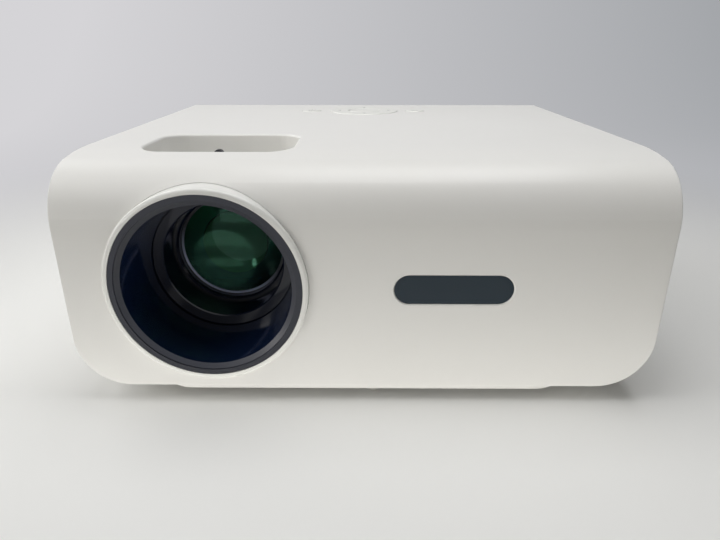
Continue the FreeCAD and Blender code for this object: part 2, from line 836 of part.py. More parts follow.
def feet_and_bottom_fittings():
    edge = 2 * s.foot_edge
    pads = [turned("Z", (side * (right - s.foot_side_inset), rear - s.foot_rear_inset, 0),
                   [(0, 0), (0, s.foot_radius - edge), (edge, s.foot_radius),
                    (s.plate_bottom, s.foot_radius), (s.plate_bottom, 0)]) for side in (-1, 1)]
    piece("rear_feet", group(*pads))
    stud_foot = s.front_pad_height
    disc_top = s.plate_bottom - s.front_foot_gap
    piece("foot_pad", turned("Z", (foot_x, foot_y, 0), [
        (0, 0), (0, s.front_foot_radius - s.foot_edge), (s.foot_edge, s.front_foot_radius),
        (stud_foot, s.front_foot_radius), (stud_foot, 0)]))
    piece("foot_screw", turned("Z", (foot_x, foot_y, 0), [
        (stud_foot, 0), (stud_foot, s.front_foot_radius), (disc_top, s.front_foot_radius),
        (disc_top, s.stud_radius), (stud_foot + s.stud_length, s.stud_radius),
        (stud_foot + s.stud_length, 0)]))
    piece("tripod_insert", ring("Z", (0, 0, s.plate_bottom), s.tripod_insert_radius,
                                s.tripod_thread_radius, s.tripod_insert_length))
    piece("dust_filter", box(widen(filter_x, -s.slide_gap), widen(filter_y, -s.slide_gap),
                             (s.body_bottom, s.body_bottom + s.filter_thickness - s.wall / 2)))
    screws = []
    for x, y in post_places:
        under = s.seam_height - s.screw_seat
        head = s.screw_head_radius - 2 * s.trim_gap
        screws.append(turned("Z", (x, y, under), [
            (-s.screw_head_height, 0), (-s.screw_head_height, head), (0, head), (0, s.screw_radius),
            (s.screw_length, s.screw_radius), (s.screw_length, 0)]))
    piece("housing_screws", group(*screws))
    plate_fixings = [turned("Z", (x, y, s.plate_bottom), [
        (-s.plate_screw_head, 0), (-s.plate_screw_head, s.screw_head_radius),
        (0, s.screw_head_radius), (0, s.screw_radius),
        (floor - s.plate_bottom, s.screw_radius), (floor - s.plate_bottom, 0)])
        for x, y in plate_screws()]
    piece("plate_screws", group(*plate_fixings))


def front_trim():
    ring_body = ring("Y", (lens[0], front - s.ring_proud, lens[1]), s.ring_radius,
                     s.hood_radius + s.trim_gap, s.ring_proud + s.ring_depth)

    def is_front_rim(edge):
        limits = edge.BoundBox
        return limits.YMax < 1e-3 and limits.XLength > 2 * s.ring_radius.value - 1
    piece("lens_ring", soften(ring_body, s.ring_edge_radius, is_front_rim))
    face, face_inner = -s.hood_proud, s.hood_radius - s.hood_face_width
    ledge = face + s.hood_step
    piece("lens_hood", turned("Y", (lens[0], front, lens[1]), [
        (face, face_inner), (face, s.hood_radius), (s.hood_flange, s.hood_radius),
        (s.hood_flange, s.hood_mouth_radius + s.hood_wall),
        (s.hood_depth, s.hood_throat_radius + s.hood_wall), (s.hood_depth, s.hood_throat_radius),
        (ledge + s.hood_bevel_depth, s.hood_mouth_radius), (ledge, face_inner - s.hood_ledge),
        (ledge, face_inner)]))
    piece("ir_window", rounded_box("Y", s.window_tall / 2 - 2 * s.trim_gap / 3,
                                   widen(window_x, -s.trim_gap / 2),
                                   (depth(s.window_recess), depth(s.window_recess + s.window_thickness)),
                                   widen(window_z, -s.trim_gap / 2)))
    eye_x, eye_z = widen(window_x, -s.ir_board_inset), widen(window_z, s.ir_board_margin)
    board = box(eye_x, (depth(s.ir_board_depth), depth(s.ir_board_depth + s.board_thickness)), eye_z)
    posts = [box(spread(x, s.wall), (depth(s.wall), depth(s.ir_board_depth)), eye_z)
             for x in widen(eye_x, -s.wall)]
    eye = rod("Y", (window_middle, depth(s.ir_board_depth - s.eye_length + s.trim_gap), s.window_height),
              s.eye_radius, s.eye_length)
    piece("ir_board", fuse(board, *posts, eye))


def focus_well(inner):
    tub = rounded_box("Z", s.well_radius + s.well_wall, widen(well_x, s.well_wall),
                      widen(well_y, s.well_wall), (well_base - s.well_wall, s.body_top))
    hollow = rounded_box("Z", s.well_radius, well_x, well_y, (well_base, s.body_top + s.wall))
    swing = math.sin(math.radians(s.focus_swing.value))
    lever_reach = s.body_top - s.lever_tip_drop - s.lens_height
    slot = box(spread(lens[0] + s.lever_offset, 2 * lever_reach * swing + s.lever_width + 4 * s.slide_gap),
               spread(lever_y, s.lever_thickness + 6 * s.slide_gap), (lens[1], s.body_top))
    return piece("focus_well", cut(common(tub, inner), hollow, slot))


lever_y = depth(s.focus_ring_depth + s.focus_ring_width / 2)


# ---- keys ----

def keys():
    top = s.body_top + s.key_proud
    flange = (ceiling - s.key_flange_gap - s.key_flange, ceiling - s.key_flange_gap)
    stem_low = (s.key_board_height + s.board_thickness + s.switch_height + s.key_travel
                + s.trim_gap)
    stem, edge = s.key_stem_radius, s.key_edge

    def cap(radius):
        return [(top - edge, radius), (top, radius - edge), (top, 0)]

    for label, x in (("power_button", s.power_key_offset), ("back_button", s.back_key_offset)):
        radius = s.small_key_radius
        skirt = radius + s.key_flange_width
        piece(label, turned("Z", (x, key_y, 0), [
            (stem_low, 0), (stem_low, stem), (flange[0], stem), (flange[0], skirt),
            (flange[1], skirt), (flange[1], radius), *cap(radius)]))
    piece("ok_button", turned("Z", (0, key_y, 0), [
        (stem_low, 0), (stem_low, stem), (flange[0], stem), (flange[0], s.ok_radius),
        *cap(s.ok_radius)]))
    skirt = s.pad_radius + s.key_flange_width
    pad = turned("Z", (0, key_y, 0), [
        (flange[0], s.pad_bore), (flange[0], skirt), (flange[1], skirt), (flange[1], s.pad_radius),
        (top - edge, s.pad_radius), (top, s.pad_radius - edge), (top, s.pad_bore + edge),
        (top - edge, s.pad_bore)])
    reach = (s.pad_radius + s.pad_bore) / 2
    around = [(reach, 0), (-reach, 0), (0, reach), (0, -reach)]
    stems = [rod("Z", (dx, key_y + dy, stem_low), stem, flange[0] - stem_low + s.trim_gap)
             for dx, dy in around]
    piece("direction_ring", fuse(pad, *stems))
    board_top = s.key_board_height + s.board_thickness
    board = box(key_board_x, spread(key_y, 2 * s.pad_radius), (s.key_board_height, board_top))
    under = [(s.power_key_offset, 0), (s.back_key_offset, 0), (0, 0), *around]
    switches = [box(spread(dx, s.switch_size), spread(key_y + dy, s.switch_size),
                    (s.key_board_height, board_top + s.switch_height)) for dx, dy in under]
    piece("key_board", fuse(board, *switches))


# ---- lens ----

def focusing_lens():
    axis = (lens[0], front, lens[1])
    bore = s.hood_throat_radius
    sleeve_outer = bore + s.sleeve_wall
    sleeve_start = s.hood_depth + s.sleeve_gap
    flange_start = s.box_front - s.collar_length
    sleeve = turned("Y", axis, [
        (sleeve_start, bore), (s.box_front, bore), (s.box_front, sleeve_outer + s.sleeve_wall),
        (flange_start, sleeve_outer + s.sleeve_wall), (flange_start, sleeve_outer),
        (sleeve_start, sleeve_outer)])
    stop = depth(s.focus_ring_depth - s.slide_gap - s.collar_length)
    collar = ring("Y", (lens[0], stop, lens[1]), sleeve_outer + s.sleeve_wall, bore, s.collar_length)
    piece("lens_sleeve", fuse(sleeve, collar))
    outer = bore - s.barrel_gap
    start = s.hood_depth + s.barrel_start_gap
    end = start + s.barrel_length
    glass = start + s.barrel_glass_depth
    glass_end = glass + s.front_glass_thickness
    retainer = glass - s.retainer_length
    retainer_end = glass + s.front_glass_bulge - s.retainer_gap
    seat, opening = s.front_glass_radius + s.glass_gap, s.front_glass_radius - s.glass_lip
    rear_opening = s.rear_glass_radius - s.glass_lip
    piece("lens_barrel", turned("Y", axis, [
        (start, s.barrel_front_bore + s.barrel_rim), (start, outer), (end, outer),
        (end, rear_opening), (end - s.sleeve_wall, rear_opening),
        (end - s.sleeve_wall, outer - s.barrel_wall), (glass_end, outer - s.barrel_wall),
        (glass_end, seat), (retainer_end, seat), (retainer_end, opening),
        (retainer + s.glass_lip, opening), (retainer, s.front_glass_radius),
        (retainer, s.barrel_front_bore), (start + s.barrel_rim, s.barrel_front_bore)]))
    lens_disc("front_lens", depth(glass), s.front_glass_radius, s.front_glass_thickness,
              s.front_glass_bulge)
    rear_start = depth(end - s.sleeve_wall - s.rear_glass_thickness)
    lens_disc("rear_lens", rear_start, outer - s.barrel_wall - s.glass_gap,
              s.rear_glass_thickness, s.rear_glass_bulge)
    band = ring("Y", (lens[0], depth(s.focus_ring_depth), lens[1]), focus_outer, focus_bore,
                s.focus_ring_width)
    lever = rounded_box("Y", s.lever_width / 2 - s.trim_gap, spread(lens[0] + s.lever_offset, s.lever_width),
                        spread(lever_y, s.lever_thickness),
                        (lens[1] + focus_bore + s.trim_gap, s.body_top - s.lever_tip_drop))
    piece("focus_ring", fuse(band, lever))


def lens_disc(label, start_y, radius, thickness, bulge):
    """A biconvex glass made as the overlap of two balls and a cylinder."""
    blank = rod("Y", (lens[0], start_y, lens[1]), radius, thickness)
    reach = (radius * radius + bulge * bulge) / (2 * bulge)
    balls = []
    for centre in (start_y + reach, start_y + thickness - reach):
        ball = document.addObject("Part::Sphere", "Ball")
        bind(ball, Radius=reach)
        place(ball, lens[0], centre, lens[1])
        balls.append(ball)
    return piece(label, common(blank, *balls))


# ---- light box ----

optic_y = widen(box_y, -(s.box_wall + s.trim_gap))
optic_z = (box_low + s.box_wall, box_top)
field_lens_x = box_x[0] + box_run + s.field_lens_gap
lcd_x = field_lens_x + s.lcd_gap
condenser_x = box_x[1] - s.condenser_gap
heat_glass_x = (lcd_x + condenser_x) / 2


def box_outline(inset):
    """Plan of the light box: its rear left corner runs at 45 degrees behind the mirror."""
    slant = inset * math.tan(math.radians(22.5))
    return [(box_x[0] + inset, box_y[0] + inset), (box_x[1] - inset, box_y[0] + inset),
            (box_x[1] - inset, box_y[1] - inset), (box_x[0] + box_run + slant, box_y[1] - inset),
            (box_x[0] + inset, depth(s.box_cut_front) - slant)]


def light_box():
    top = box_top
    outside = padded("Z", box_low, top, box_outline(as_size(0)))
    inside = padded("Z", optic_z[0], top + s.wall, box_outline(s.box_wall))
    lens_hole = rod("Y", (lens[0], box_y[0] - s.wall, lens[1]), s.hood_throat_radius, 3 * s.wall)
    led_width = s.led_size + 2 * s.slide_gap
    led_hole = box(spread(box_x[1], 3 * s.box_wall), spread(box_middle, led_width),
                   spread(s.lens_height, led_width))
    air_in = box((lcd_x, heat_glass_x), spread(box_y[0], 3 * s.box_wall),
                 spread(s.blower_low + s.blower_height / 2, s.blower_height - 2 * s.blower_wall))
    air_out = box((lcd_x + s.box_wall, heat_glass_x - s.box_wall), spread(box_y[1], 3 * s.box_wall),
                  spread(s.lens_height, s.fan_size / 2))
    ribs = []
    for x in (field_lens_x, lcd_x, heat_glass_x):
        for near in (x - s.trim_gap - s.rib_thickness, x + s.plate_optic_thickness + s.trim_gap):
            for y in ((box_y[0] + s.box_wall / 2, box_y[0] + 2 * s.box_wall),
                      (box_y[1] - 2 * s.box_wall, box_y[1] - s.box_wall / 2)):
                ribs.append(box((near, near + s.rib_thickness), y, (box_low + s.box_wall / 2, top)))
    body = fuse(cut(outside, inside), *ribs)
    piece("light_box", cut(body, lens_hole, led_hole, air_in, air_out))
    lid = padded("Z", top, top + s.box_lid, box_outline(as_size(0)))
    board_feet = [rod("Z", (board_x[1] - s.board_hole_inset, y, top + s.box_lid),
                      s.post_radius / 2, s.main_board_height - top - s.box_lid) for y in board_hole_y]
    piece("light_box_lid", fuse(lid, *board_feet))


def optics():
    def pane(label, x):
        return piece(label, box((x, x + s.plate_optic_thickness), optic_y, optic_z))
    pane("field_lens", field_lens_x)
    pane("heat_glass", heat_glass_x)
    panel = box((lcd_x, lcd_x + s.plate_optic_thickness), optic_y, optic_z)
    recess = box((lcd_x - s.overrun, lcd_x + s.plate_optic_thickness / 4), widen(optic_y, -3 * s.box_wall),
                 widen(optic_z, -2 * s.box_wall))
    piece("lcd_panel", cut(panel, recess))
    thick, edge = s.condenser_thickness, s.condenser_edge
    radius = box_top - s.lens_height - s.condenser_gap_above
    crown, shoulder, saddle_drop = thick * 0.45, radius * 0.55, radius * 0.8
    dome = turned("X", (condenser_x, box_middle, s.lens_height), [
        (0, 0), (crown, shoulder), (thick - edge, radius), (thick, radius), (thick, 0)])
    saddle = box((condenser_x + thick - edge, condenser_x + thick), spread(box_middle, radius),
                 (optic_z[0], s.lens_height - saddle_drop))
    piece("condenser_lens", fuse(dome, saddle))
    step = math.sqrt(0.5)
    length = box_run / step - 2 * s.mirror_end_gap
    mirror = document.addObject("Part::Box", "Mirror")
    bind(mirror, Length=length, Width=s.mirror_thickness, Height=optic_z[1] - optic_z[0])
    turn = FreeCAD.Rotation(FreeCAD.Vector(0, 0, 1), 45)
    mirror.Placement = FreeCAD.Placement(FreeCAD.Vector(), turn)
    seat = s.box_wall + s.trim_gap + s.mirror_thickness
    middle_x = box_x[0] + box_run / 2 + seat * step
    middle_y = depth(s.box_cut_front) + box_run / 2 - seat * step
    half = length / 2 * step
    place(mirror, middle_x - half, middle_y - half, optic_z[0])
    piece("mirror", mirror)


def lamp():
    base = (box_x[1], box_x[1] + s.sink_base)
    tip = box_x[1] + s.sink_length
    sink_height = 2 * (s.drive_low - s.sink_top_gap - s.lens_height)
    y, z = spread(box_middle, s.sink_width), spread(s.lens_height, sink_height)
    fins = []
    count = int(s.sink_width.value / s.sink_pitch.value)
    for number in range(count):
        middle = box_middle + (number - (count - 1) / 2) * s.sink_pitch
        fins.append(box((base[0] + s.sink_base / 2, tip), spread(middle, s.sink_fin), z))
    piece("led_heatsink", fuse(box(base, y, z), *fins))
    carrier_x = box_x[1] - s.led_carrier
    carrier = box((carrier_x, box_x[1]), spread(box_middle, s.led_size), spread(s.lens_height, s.led_size))
    chip = box((carrier_x - s.led_chip, carrier_x + s.led_carrier / 2), spread(box_middle, s.led_size / 2),
               spread(s.lens_height, s.led_size / 2))
    piece("led_module", fuse(carrier, chip))


FAN_STRUTS = 3
FIRST_STRUT_TURN = 30
FAN_BLADES = 7
BLOWER_VANES = 15


def exhaust_fan():
    high = right - s.wall
    low = high - s.fan_depth
    y, z = box_middle, s.fan_height
    frame = rounded_box("X", s.wall, (low, high), spread(y, s.fan_size), spread(z, s.fan_size))
    bore = rod("X", (low - s.overrun, y, z), s.fan_bore, s.fan_depth + 2 * s.overrun)
    struts = []
    for number in range(FAN_STRUTS):
        bar = document.addObject("Part::Box", "Strut")
        bind(bar, Length=s.strut_thickness, Width=s.strut_width, Height=s.fan_bore + s.overrun)
        turn = FreeCAD.Rotation(FreeCAD.Vector(1, 0, 0), 360 * number / FAN_STRUTS + FIRST_STRUT_TURN)
        bar.Placement = FreeCAD.Placement(FreeCAD.Vector(), turn)
        place(bar, high - s.strut_thickness, y, z)
        struts.append(bar)
    struts.append(rod("X", (high - s.strut_thickness, y, z), s.fan_hub_radius, s.strut_thickness))
    piece("fan_frame", fuse(cut(frame, bore), *struts))
    hub_start, spare = low + s.fan_end_gap, s.fan_end_gap + s.fan_strut_gap
    hub = rod("X", (hub_start, y, z), s.fan_hub_radius, s.fan_depth - s.strut_thickness - spare)
    piece("fan_rotor", fuse(hub, *fan_blades(low + spare, y, z)))


def fan_blades(x, y, z):
    """Pitched blades set round a hub whose axis runs along X."""
    length = s.fan_bore - s.fan_clearance - s.blade_root
    lead = -s.blade_chord.value / 2 * math.sin(math.radians(s.blade_pitch.value))
    blades = []
    for number in range(FAN_BLADES):
        around = FreeCAD.Rotation(FreeCAD.Vector(1, 0, 0), 360 * number / FAN_BLADES)
        pitch = FreeCAD.Rotation(FreeCAD.Vector(0, 0, 1), s.blade_pitch.value)
        blade = document.addObject("Part::Box", "Blade")
        bind(blade, Length=s.blade_chord, Width=s.blade_thickness, Height=length)
        blade.Placement = FreeCAD.Placement(FreeCAD.Vector(), around.multiply(pitch))
        start = around.multVec(FreeCAD.Vector(s.blade_inset.value, lead, s.blade_root.value))
        place(blade, x + start.x, y + start.y, z + start.z)
        blades.append(blade)
    return blades


def blower():
    x = (lcd_x - s.blower_lead, lcd_x - s.blower_lead + s.blower_size)
    y = (box_y[0] - s.blower_size, box_y[0])
    z = (s.blower_low, s.blower_low + s.blower_height)
    middle = ((x[0] + x[1]) / 2, (y[0] + y[1]) / 2)
    radius = s.blower_size / 2 - 2 * s.blower_wall
    case = rounded_box("Z", 4 * s.blower_wall, x, y, z)
    chamber = rod("Z", (*middle, z[0] + s.blower_wall), radius, s.blower_height - 2 * s.blower_wall)
    inlet = rod("Z", (*middle, z[0] + 2 * s.blower_wall), s.blower_inlet_radius, s.blower_height)
    outlet = box((lcd_x, heat_glass_x), (middle[1], y[1] + s.overrun), widen(z, -s.blower_wall))
    piece("blower_case", cut(case, chamber, inlet, outlet))
    base = z[0] + s.blower_wall + s.slide_gap
    height = s.blower_height - 2 * (s.blower_wall + s.slide_gap)
    hub = rod("Z", (*middle, base), s.blower_hub_radius, height)
    back = rod("Z", (*middle, base), radius - 2 * s.blower_wall, s.blower_back)
    vanes = []
    for number in range(BLOWER_VANES):
        around = FreeCAD.Rotation(FreeCAD.Vector(0, 0, 1), 360 * number / BLOWER_VANES)
        vane = document.addObject("Part::Box", "Vane")
        bind(vane, Length=s.vane_depth, Width=s.vane_thickness, Height=height)
        vane.Placement = FreeCAD.Placement(FreeCAD.Vector(), around)
        start = around.multVec(FreeCAD.Vector(1, 0, 0))
        reach = radius - 2 * s.blower_wall - s.vane_depth
        place(vane, middle[0] + reach * start.x, middle[1] + reach * start.y, base)
        vanes.append(vane)
    piece("blower_rotor", fuse(hub, back, *vanes))


# ---- boards, speaker and sockets ----

board_top = s.main_board_height + s.board_thickness
socket_y = (rear - s.socket_depth, rear - s.socket_gap)
jack_x = [panel_x[0] + s.jack_place + number * s.jack_pitch for number in range(2)]
jack_z = board_top + s.jack_height / 2
inlet_x = panel_x[0] + s.inlet_place


CHIP_SHARES = ((0.3, 0.4), (0.6, 0.36), (0.86, 0.4))


def boards():
    board = box(board_x, board_y, (s.main_board_height, board_top))
    chips = [box(spread(board_x[0] + s.main_board_width * dx, s.chip_size),
                 spread(board_y[0] + s.main_board_length * dy, s.chip_size),
                 (s.main_board_height, board_top + s.chip_height))
             for dx, dy in CHIP_SHARES]
    piece("main_board", fuse(board, *chips))
    z = s.power_board_height + s.board_thickness
    piece("power_board", box(power_x, power_y, (s.power_board_height, z)))
    middle_y = (power_y[0] + power_y[1]) / 2
    coil_x = spread(power_x[0] + s.power_board_width * s.coil_share, s.coil_width)
    coil = box(coil_x, spread(middle_y, s.coil_length), (z, z + s.coil_height))
    core = box(widen(coil_x, -s.core_inset), spread(middle_y, s.coil_length + 2 * s.core_overhang),
               widen((z, z + s.coil_height), -s.core_inset))
    large_can = rod("Z", (power_x[0] + s.power_board_width * s.large_can_share, middle_y, z),
                    s.large_can_radius, s.large_can_height)
    small_cans = [rod("Z", (power_x[0] + s.power_board_width * s.small_can_share, y, z), s.small_can_radius,
                      s.small_can_height) for y in widen((middle_y, middle_y), 1.5 * s.small_can_radius)]
    piece("power_parts", group(fuse(coil, core), large_can, *small_cans))
    rim = right - s.wall
    radius, cone = s.speaker_radius, s.speaker_depth - s.speaker_rim
    magnet, dish = s.speaker_magnet, s.speaker_magnet * 1.3
    magnet_radius, neck_radius, cap_radius = radius * 0.6, radius * 0.45, radius * 0.4
    cone_radius, mouth_radius = radius * 0.9, radius * 0.88
    piece("speaker", turned("X", (rim - s.speaker_depth, depth(s.speaker_place), s.speaker_height), [
        (0, 0), (0, magnet_radius), (magnet, magnet_radius), (magnet, neck_radius), (cone, cone_radius),
        (cone, radius), (s.speaker_depth, radius), (s.speaker_depth, mouth_radius),
        (dish, cap_radius), (dish, 0)]))


def sockets():
    def shell(label, place_x, width, height, tongue):
        x, skin = panel_x[0] + place_x, s.drive_sheet / 2
        outer = box(spread(x, width), socket_y, (board_top, board_top + height))
        mouth = box(spread(x, width - 2 * skin), (socket_y[0] + 4 * skin, socket_y[1] + s.overrun),
                    (board_top + skin, board_top + height - skin))
        blade = box(spread(x, width - 10 * skin), (socket_y[0] + 2 * skin, socket_y[1] - 4 * skin),
                    spread(board_top + height / 2, tongue))
        return piece(label, fuse(cut(outer, mouth), blade))
    shell("hdmi_socket", s.hdmi_place, s.hdmi_width, s.hdmi_height, s.hdmi_tongue)
    shell("usb_socket", s.usb_place, s.usb_width, s.usb_height, s.usb_tongue)
    card_x = panel_x[0] + s.card_place
    card_z = (board_top, board_top + s.card_height)
    piece("card_slot", cut(box(spread(card_x, s.card_width), socket_y, card_z),
                           box(spread(card_x, s.card_mouth_width),
                               (socket_y[0] + s.card_back, socket_y[1] + s.overrun),
                               widen(card_z, -s.drive_sheet))))
    jacks = []
    for x in jack_x:
        block = box(spread(x, s.jack_width), (socket_y[0], rear - s.wall - s.trim_gap),
                    (board_top, board_top + s.jack_height))
        nose = rod("Y", (x, socket_y[1] - s.jack_nose_length, jack_z), s.jack_height / 2, s.jack_nose_length)
        bore = rod("Y", (x, socket_y[0] + s.jack_back, jack_z), s.jack_bore, 2 * s.socket_depth)
        jacks.append(cut(fuse(block, nose), bore))
    piece("av_jacks", group(*jacks))
    body_y = (rear - s.inlet_depth, rear - s.socket_gap)
    body = rounded_box("Y", s.wall, spread(inlet_x, s.inlet_width), body_y,
                       spread(s.inlet_height, s.inlet_tall))
    recess = rounded_box("Y", s.inlet_mouth_tall / 2 - s.trim_gap, spread(inlet_x, s.inlet_mouth_width),
                         (body_y[0] + s.inlet_back, rear + s.overrun),
                         spread(s.inlet_height, s.inlet_mouth_tall))
    pins = [rod("Y", (x, body_y[0] + s.pin_start, s.inlet_height), s.pin_radius, s.inlet_depth / 2)
            for x in spread(inlet_x, s.pin_spacing)]
    piece("power_inlet", fuse(cut(body, recess), *pins))


def rear_panel():
    plate = box(panel_x, (rear - s.wall, rear - s.rear_panel_recess), panel_z)
    through = (rear - 2 * s.wall, rear + s.wall)
    gap = s.socket_gap
    fits = ((s.hdmi_place, s.hdmi_width, s.hdmi_height), (s.usb_place, s.usb_width, s.usb_height),
            (s.card_place, s.card_width, s.card_height))
    holes = [box(widen(spread(panel_x[0] + x, width), gap), through,
                 widen((board_top, board_top + height), gap)) for x, width, height in fits]
    holes.append(rounded_box("Y", s.wall, widen(spread(inlet_x, s.inlet_width), gap), through,
                             widen(spread(s.inlet_height, s.inlet_tall), gap)))
    holes += [rod("Y", (x, through[0], jack_z), s.jack_height / 2 + gap, 4 * s.wall) for x in jack_x]
    slots = [box(spread(panel_x[0] + s.rear_vent_place + number * s.vent_pitch, s.vent_slot_width),
                 through, (s.rear_vent_low, s.rear_vent_high)) for number in range(-6, 6)]
    piece("rear_panel", cut(plate, *holes, *slots))


# ---- disc drive ----

sheet = s.drive_sheet
rail_y = widen(drive_y, -sheet - s.rail_side_gap)
tray_y = (rail_y[0] + s.rail_thickness + s.slide_gap, rail_y[1] - s.rail_thickness - s.slide_gap)
tray_x = (drive_x[0] + 2 * sheet, right - s.wall)
tray_low = drive_z[0] + sheet + s.tray_lift
tray_z = (tray_low, tray_low + s.tray_height)
hub_x = tray_x[1] - s.disc_margin - s.disc_well_radius
hub_y = (drive_y[0] + drive_y[1]) / 2
well_floor = tray_z[1] - s.disc_well_depth
cavity_x = (tray_x[0] + s.cavity_start, hub_x + s.cavity_past_hub)
cavity_y = (hub_y - s.cavity_half_width, hub_y + s.cavity_half_width)
cavity_roof = well_floor - s.tray_floor
mech_z = (tray_z[0] + cavity_roof) / 2
eject_y = hub_y + s.eject_offset
eject_z = (drive_z[0] + drive_z[1]) / 2


def drive_case():
    pan_top = drive_z[1] - sheet
    pan = cut(box(drive_x, drive_y, (drive_z[0], pan_top)),
              box((drive_x[0] + sheet, drive_x[1] + s.overrun), widen(drive_y, -sheet),
                  (drive_z[0] + sheet, pan_top + s.overrun)))
    hollow = rod("Z", (hub_x, hub_y, drive_z[0] - s.overrun), s.turntable_radius, sheet + 2 * s.overrun)
    piece("drive_case", cut(pan, hollow))
    lid = box(drive_x, drive_y, (pan_top, drive_z[1]))
    piece("drive_cover", lid)
    rails = []
    for y in ((rail_y[0], rail_y[0] + s.rail_thickness), (rail_y[1] - s.rail_thickness, rail_y[1])):
        low = drive_z[0] + sheet + s.rail_lift
        rails.append(box((drive_x[0] + 2 * sheet, drive_x[1] - 5 * sheet), y, (low, low + s.rail_height)))
    piece("tray_rails", group(*rails))


def disc_tray():
    body = rounded_box("Z", s.tray_corner, tray_x, tray_y, tray_z)
    well = rod("Z", (hub_x, hub_y, well_floor), s.disc_well_radius, s.disc_well_depth + s.overrun)
    cavity = box(cavity_x, cavity_y, (tray_z[0] - s.overrun, cavity_roof))
    through_floor = widen((cavity_roof, well_floor), s.overrun)
    motor_window = rod("Z", (hub_x, hub_y, through_floor[0]), s.turntable_radius + s.turntable_gap,
                       s.tray_floor + 2 * s.overrun)
    sled_window = box((cavity_x[0], hub_x), spread(hub_y, s.sled_window_width), through_floor)
    finger_dips = [rod("Z", (hub_x, hub_y + side * s.disc_well_radius, well_floor - s.finger_dip_depth),
                       s.finger_dip_radius, s.tray_height) for side in (-1, 1)]
    dips = common(fuse(*finger_dips), box(widen(tray_x, -s.finger_dip_inset),
                                          widen(tray_y, -s.rail_thickness),
                                          (tray_z[0], tray_z[1] + s.overrun)))
    piece("disc_tray", cut(body, well, cavity, motor_window, sled_window, dips))
    face = box((right - s.wall, right), drive_y, drive_z)
    button_hole = box((right - 2 * s.wall, right + s.overrun),
                      spread(eject_y, s.eject_width + 2 * s.trim_gap),
                      spread(eject_z, s.eject_height + 2 * s.trim_gap))
    pin_hole = rod("X", (right - 2 * s.wall, eject_y - s.pin_hole_offset, eject_z), s.pin_hole_radius,
                   3 * s.wall)
    piece("tray_bezel", cut(face, button_hole, pin_hole))
    button_back = right - s.wall + s.eject_travel + s.eject_rest_gap
    piece("eject_button", rounded_box("X", s.eject_corner, (button_back, right),
                                      spread(eject_y, s.eject_width), spread(eject_z, s.eject_height)))


def disc_mechanism():
    table = well_floor + s.turntable_lift
    table_low = table - s.turntable_thickness
    motor_top = table_low - s.slide_gap
    mount = box((hub_x - s.motor_radius - s.motor_mount_rim, cavity_x[1]), cavity_y,
                (tray_z[0], tray_z[0] + sheet))
    motor = rod("Z", (hub_x, hub_y, tray_z[0]), s.motor_radius, motor_top - tray_z[0])
    piece("spindle_motor", fuse(mount, motor))
    hub_top = table + s.hub_height
    piece("disc_hub", turned("Z", (hub_x, hub_y, 0), [
        (table_low, 0), (table_low, s.turntable_radius), (table, s.turntable_radius),
        (table, s.hub_radius), (hub_top - s.hub_edge / 2, s.hub_radius),
        (hub_top, s.hub_radius - s.hub_edge), (hub_top, 0)]))
    sled_x = spread(hub_x - s.sled_home, s.sled_length)
    sled_z = spread(mech_z, s.sled_thickness)
    screw_y = hub_y + s.lead_screw_offset
    block = box(sled_x, spread(hub_y, 2 * s.rod_offset + s.sled_past_rods), sled_z)
    nut = box(sled_x, (hub_y + s.rod_offset, screw_y + s.nut_reach), sled_z)
    cap = rod("Z", (hub_x - s.sled_home, hub_y, mech_z), s.pickup_radius, cavity_roof + sheet - mech_z)
    bores = [rod("X", (sled_x[0] - s.overrun, hub_y + y, mech_z), radius + s.glass_gap,
                 s.sled_length + 2 * s.overrun)
             for y, radius in ((s.rod_offset, s.rod_radius), (-s.rod_offset, s.rod_radius),
                               (s.lead_screw_offset, s.lead_screw_radius))]
    piece("laser_sled", cut(fuse(block, nut, cap), *bores))
    rods = [rod("X", (cavity_x[0], hub_y + side * s.rod_offset, mech_z), s.rod_radius,
                cavity_x[1] - cavity_x[0]) for side in (-1, 1)]
    piece("guide_rods", group(*rods))
    motor_x = hub_x + s.feed_motor_start
    piece("lead_screw", rod("X", (cavity_x[0], screw_y, mech_z), s.lead_screw_radius,
                            motor_x - cavity_x[0]))
    piece("feed_motor", rod("X", (motor_x, screw_y, mech_z + 2 * s.trim_gap), s.feed_motor_radius,
                            cavity_x[1] - motor_x))


# ---- build and write ----

def build():
    outer = sink_well(round_outline(housing_form(as_size(0))))
    inner = housing_form(s.wall)
    rebate = housing_form(s.wall / 2)
    openings = housing_openings()
    top_shell(outer, inner, rebate, openings)
    lower_shell(outer, inner, housing_form(s.wall / 2 + s.trim_gap), openings)
    base_plate(openings[0])
    feet_and_bottom_fittings()
    front_trim()
    focus_well(inner)
    keys()
    focusing_lens()
    light_box()
    optics()
    lamp()
    exhaust_fan()
    blower()
    boards()
    sockets()
    rear_panel()
    drive_case()
    disc_tray()
    disc_mechanism()
    document.recompute()


def check():
    for thing in document.Objects:
        if {"Invalid", "Error"} & set(thing.State):
            raise RuntimeError(f"{thing.Label} failed: {thing.State}")
    for label, shape in pieces.items():
        if shape.Shape.isNull() or not shape.Shape.isValid() or not shape.Shape.Solids:
            raise RuntimeError(f"{label} has no valid solid")


def write():
    os.makedirs("parts", exist_ok=True)
    for label, shape in pieces.items():
        shape.Shape.exportStep(f"parts/{label}.step")


build()
check()
write()
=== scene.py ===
import json
import math

import bmesh
import bpy
from mathutils import Matrix, Vector


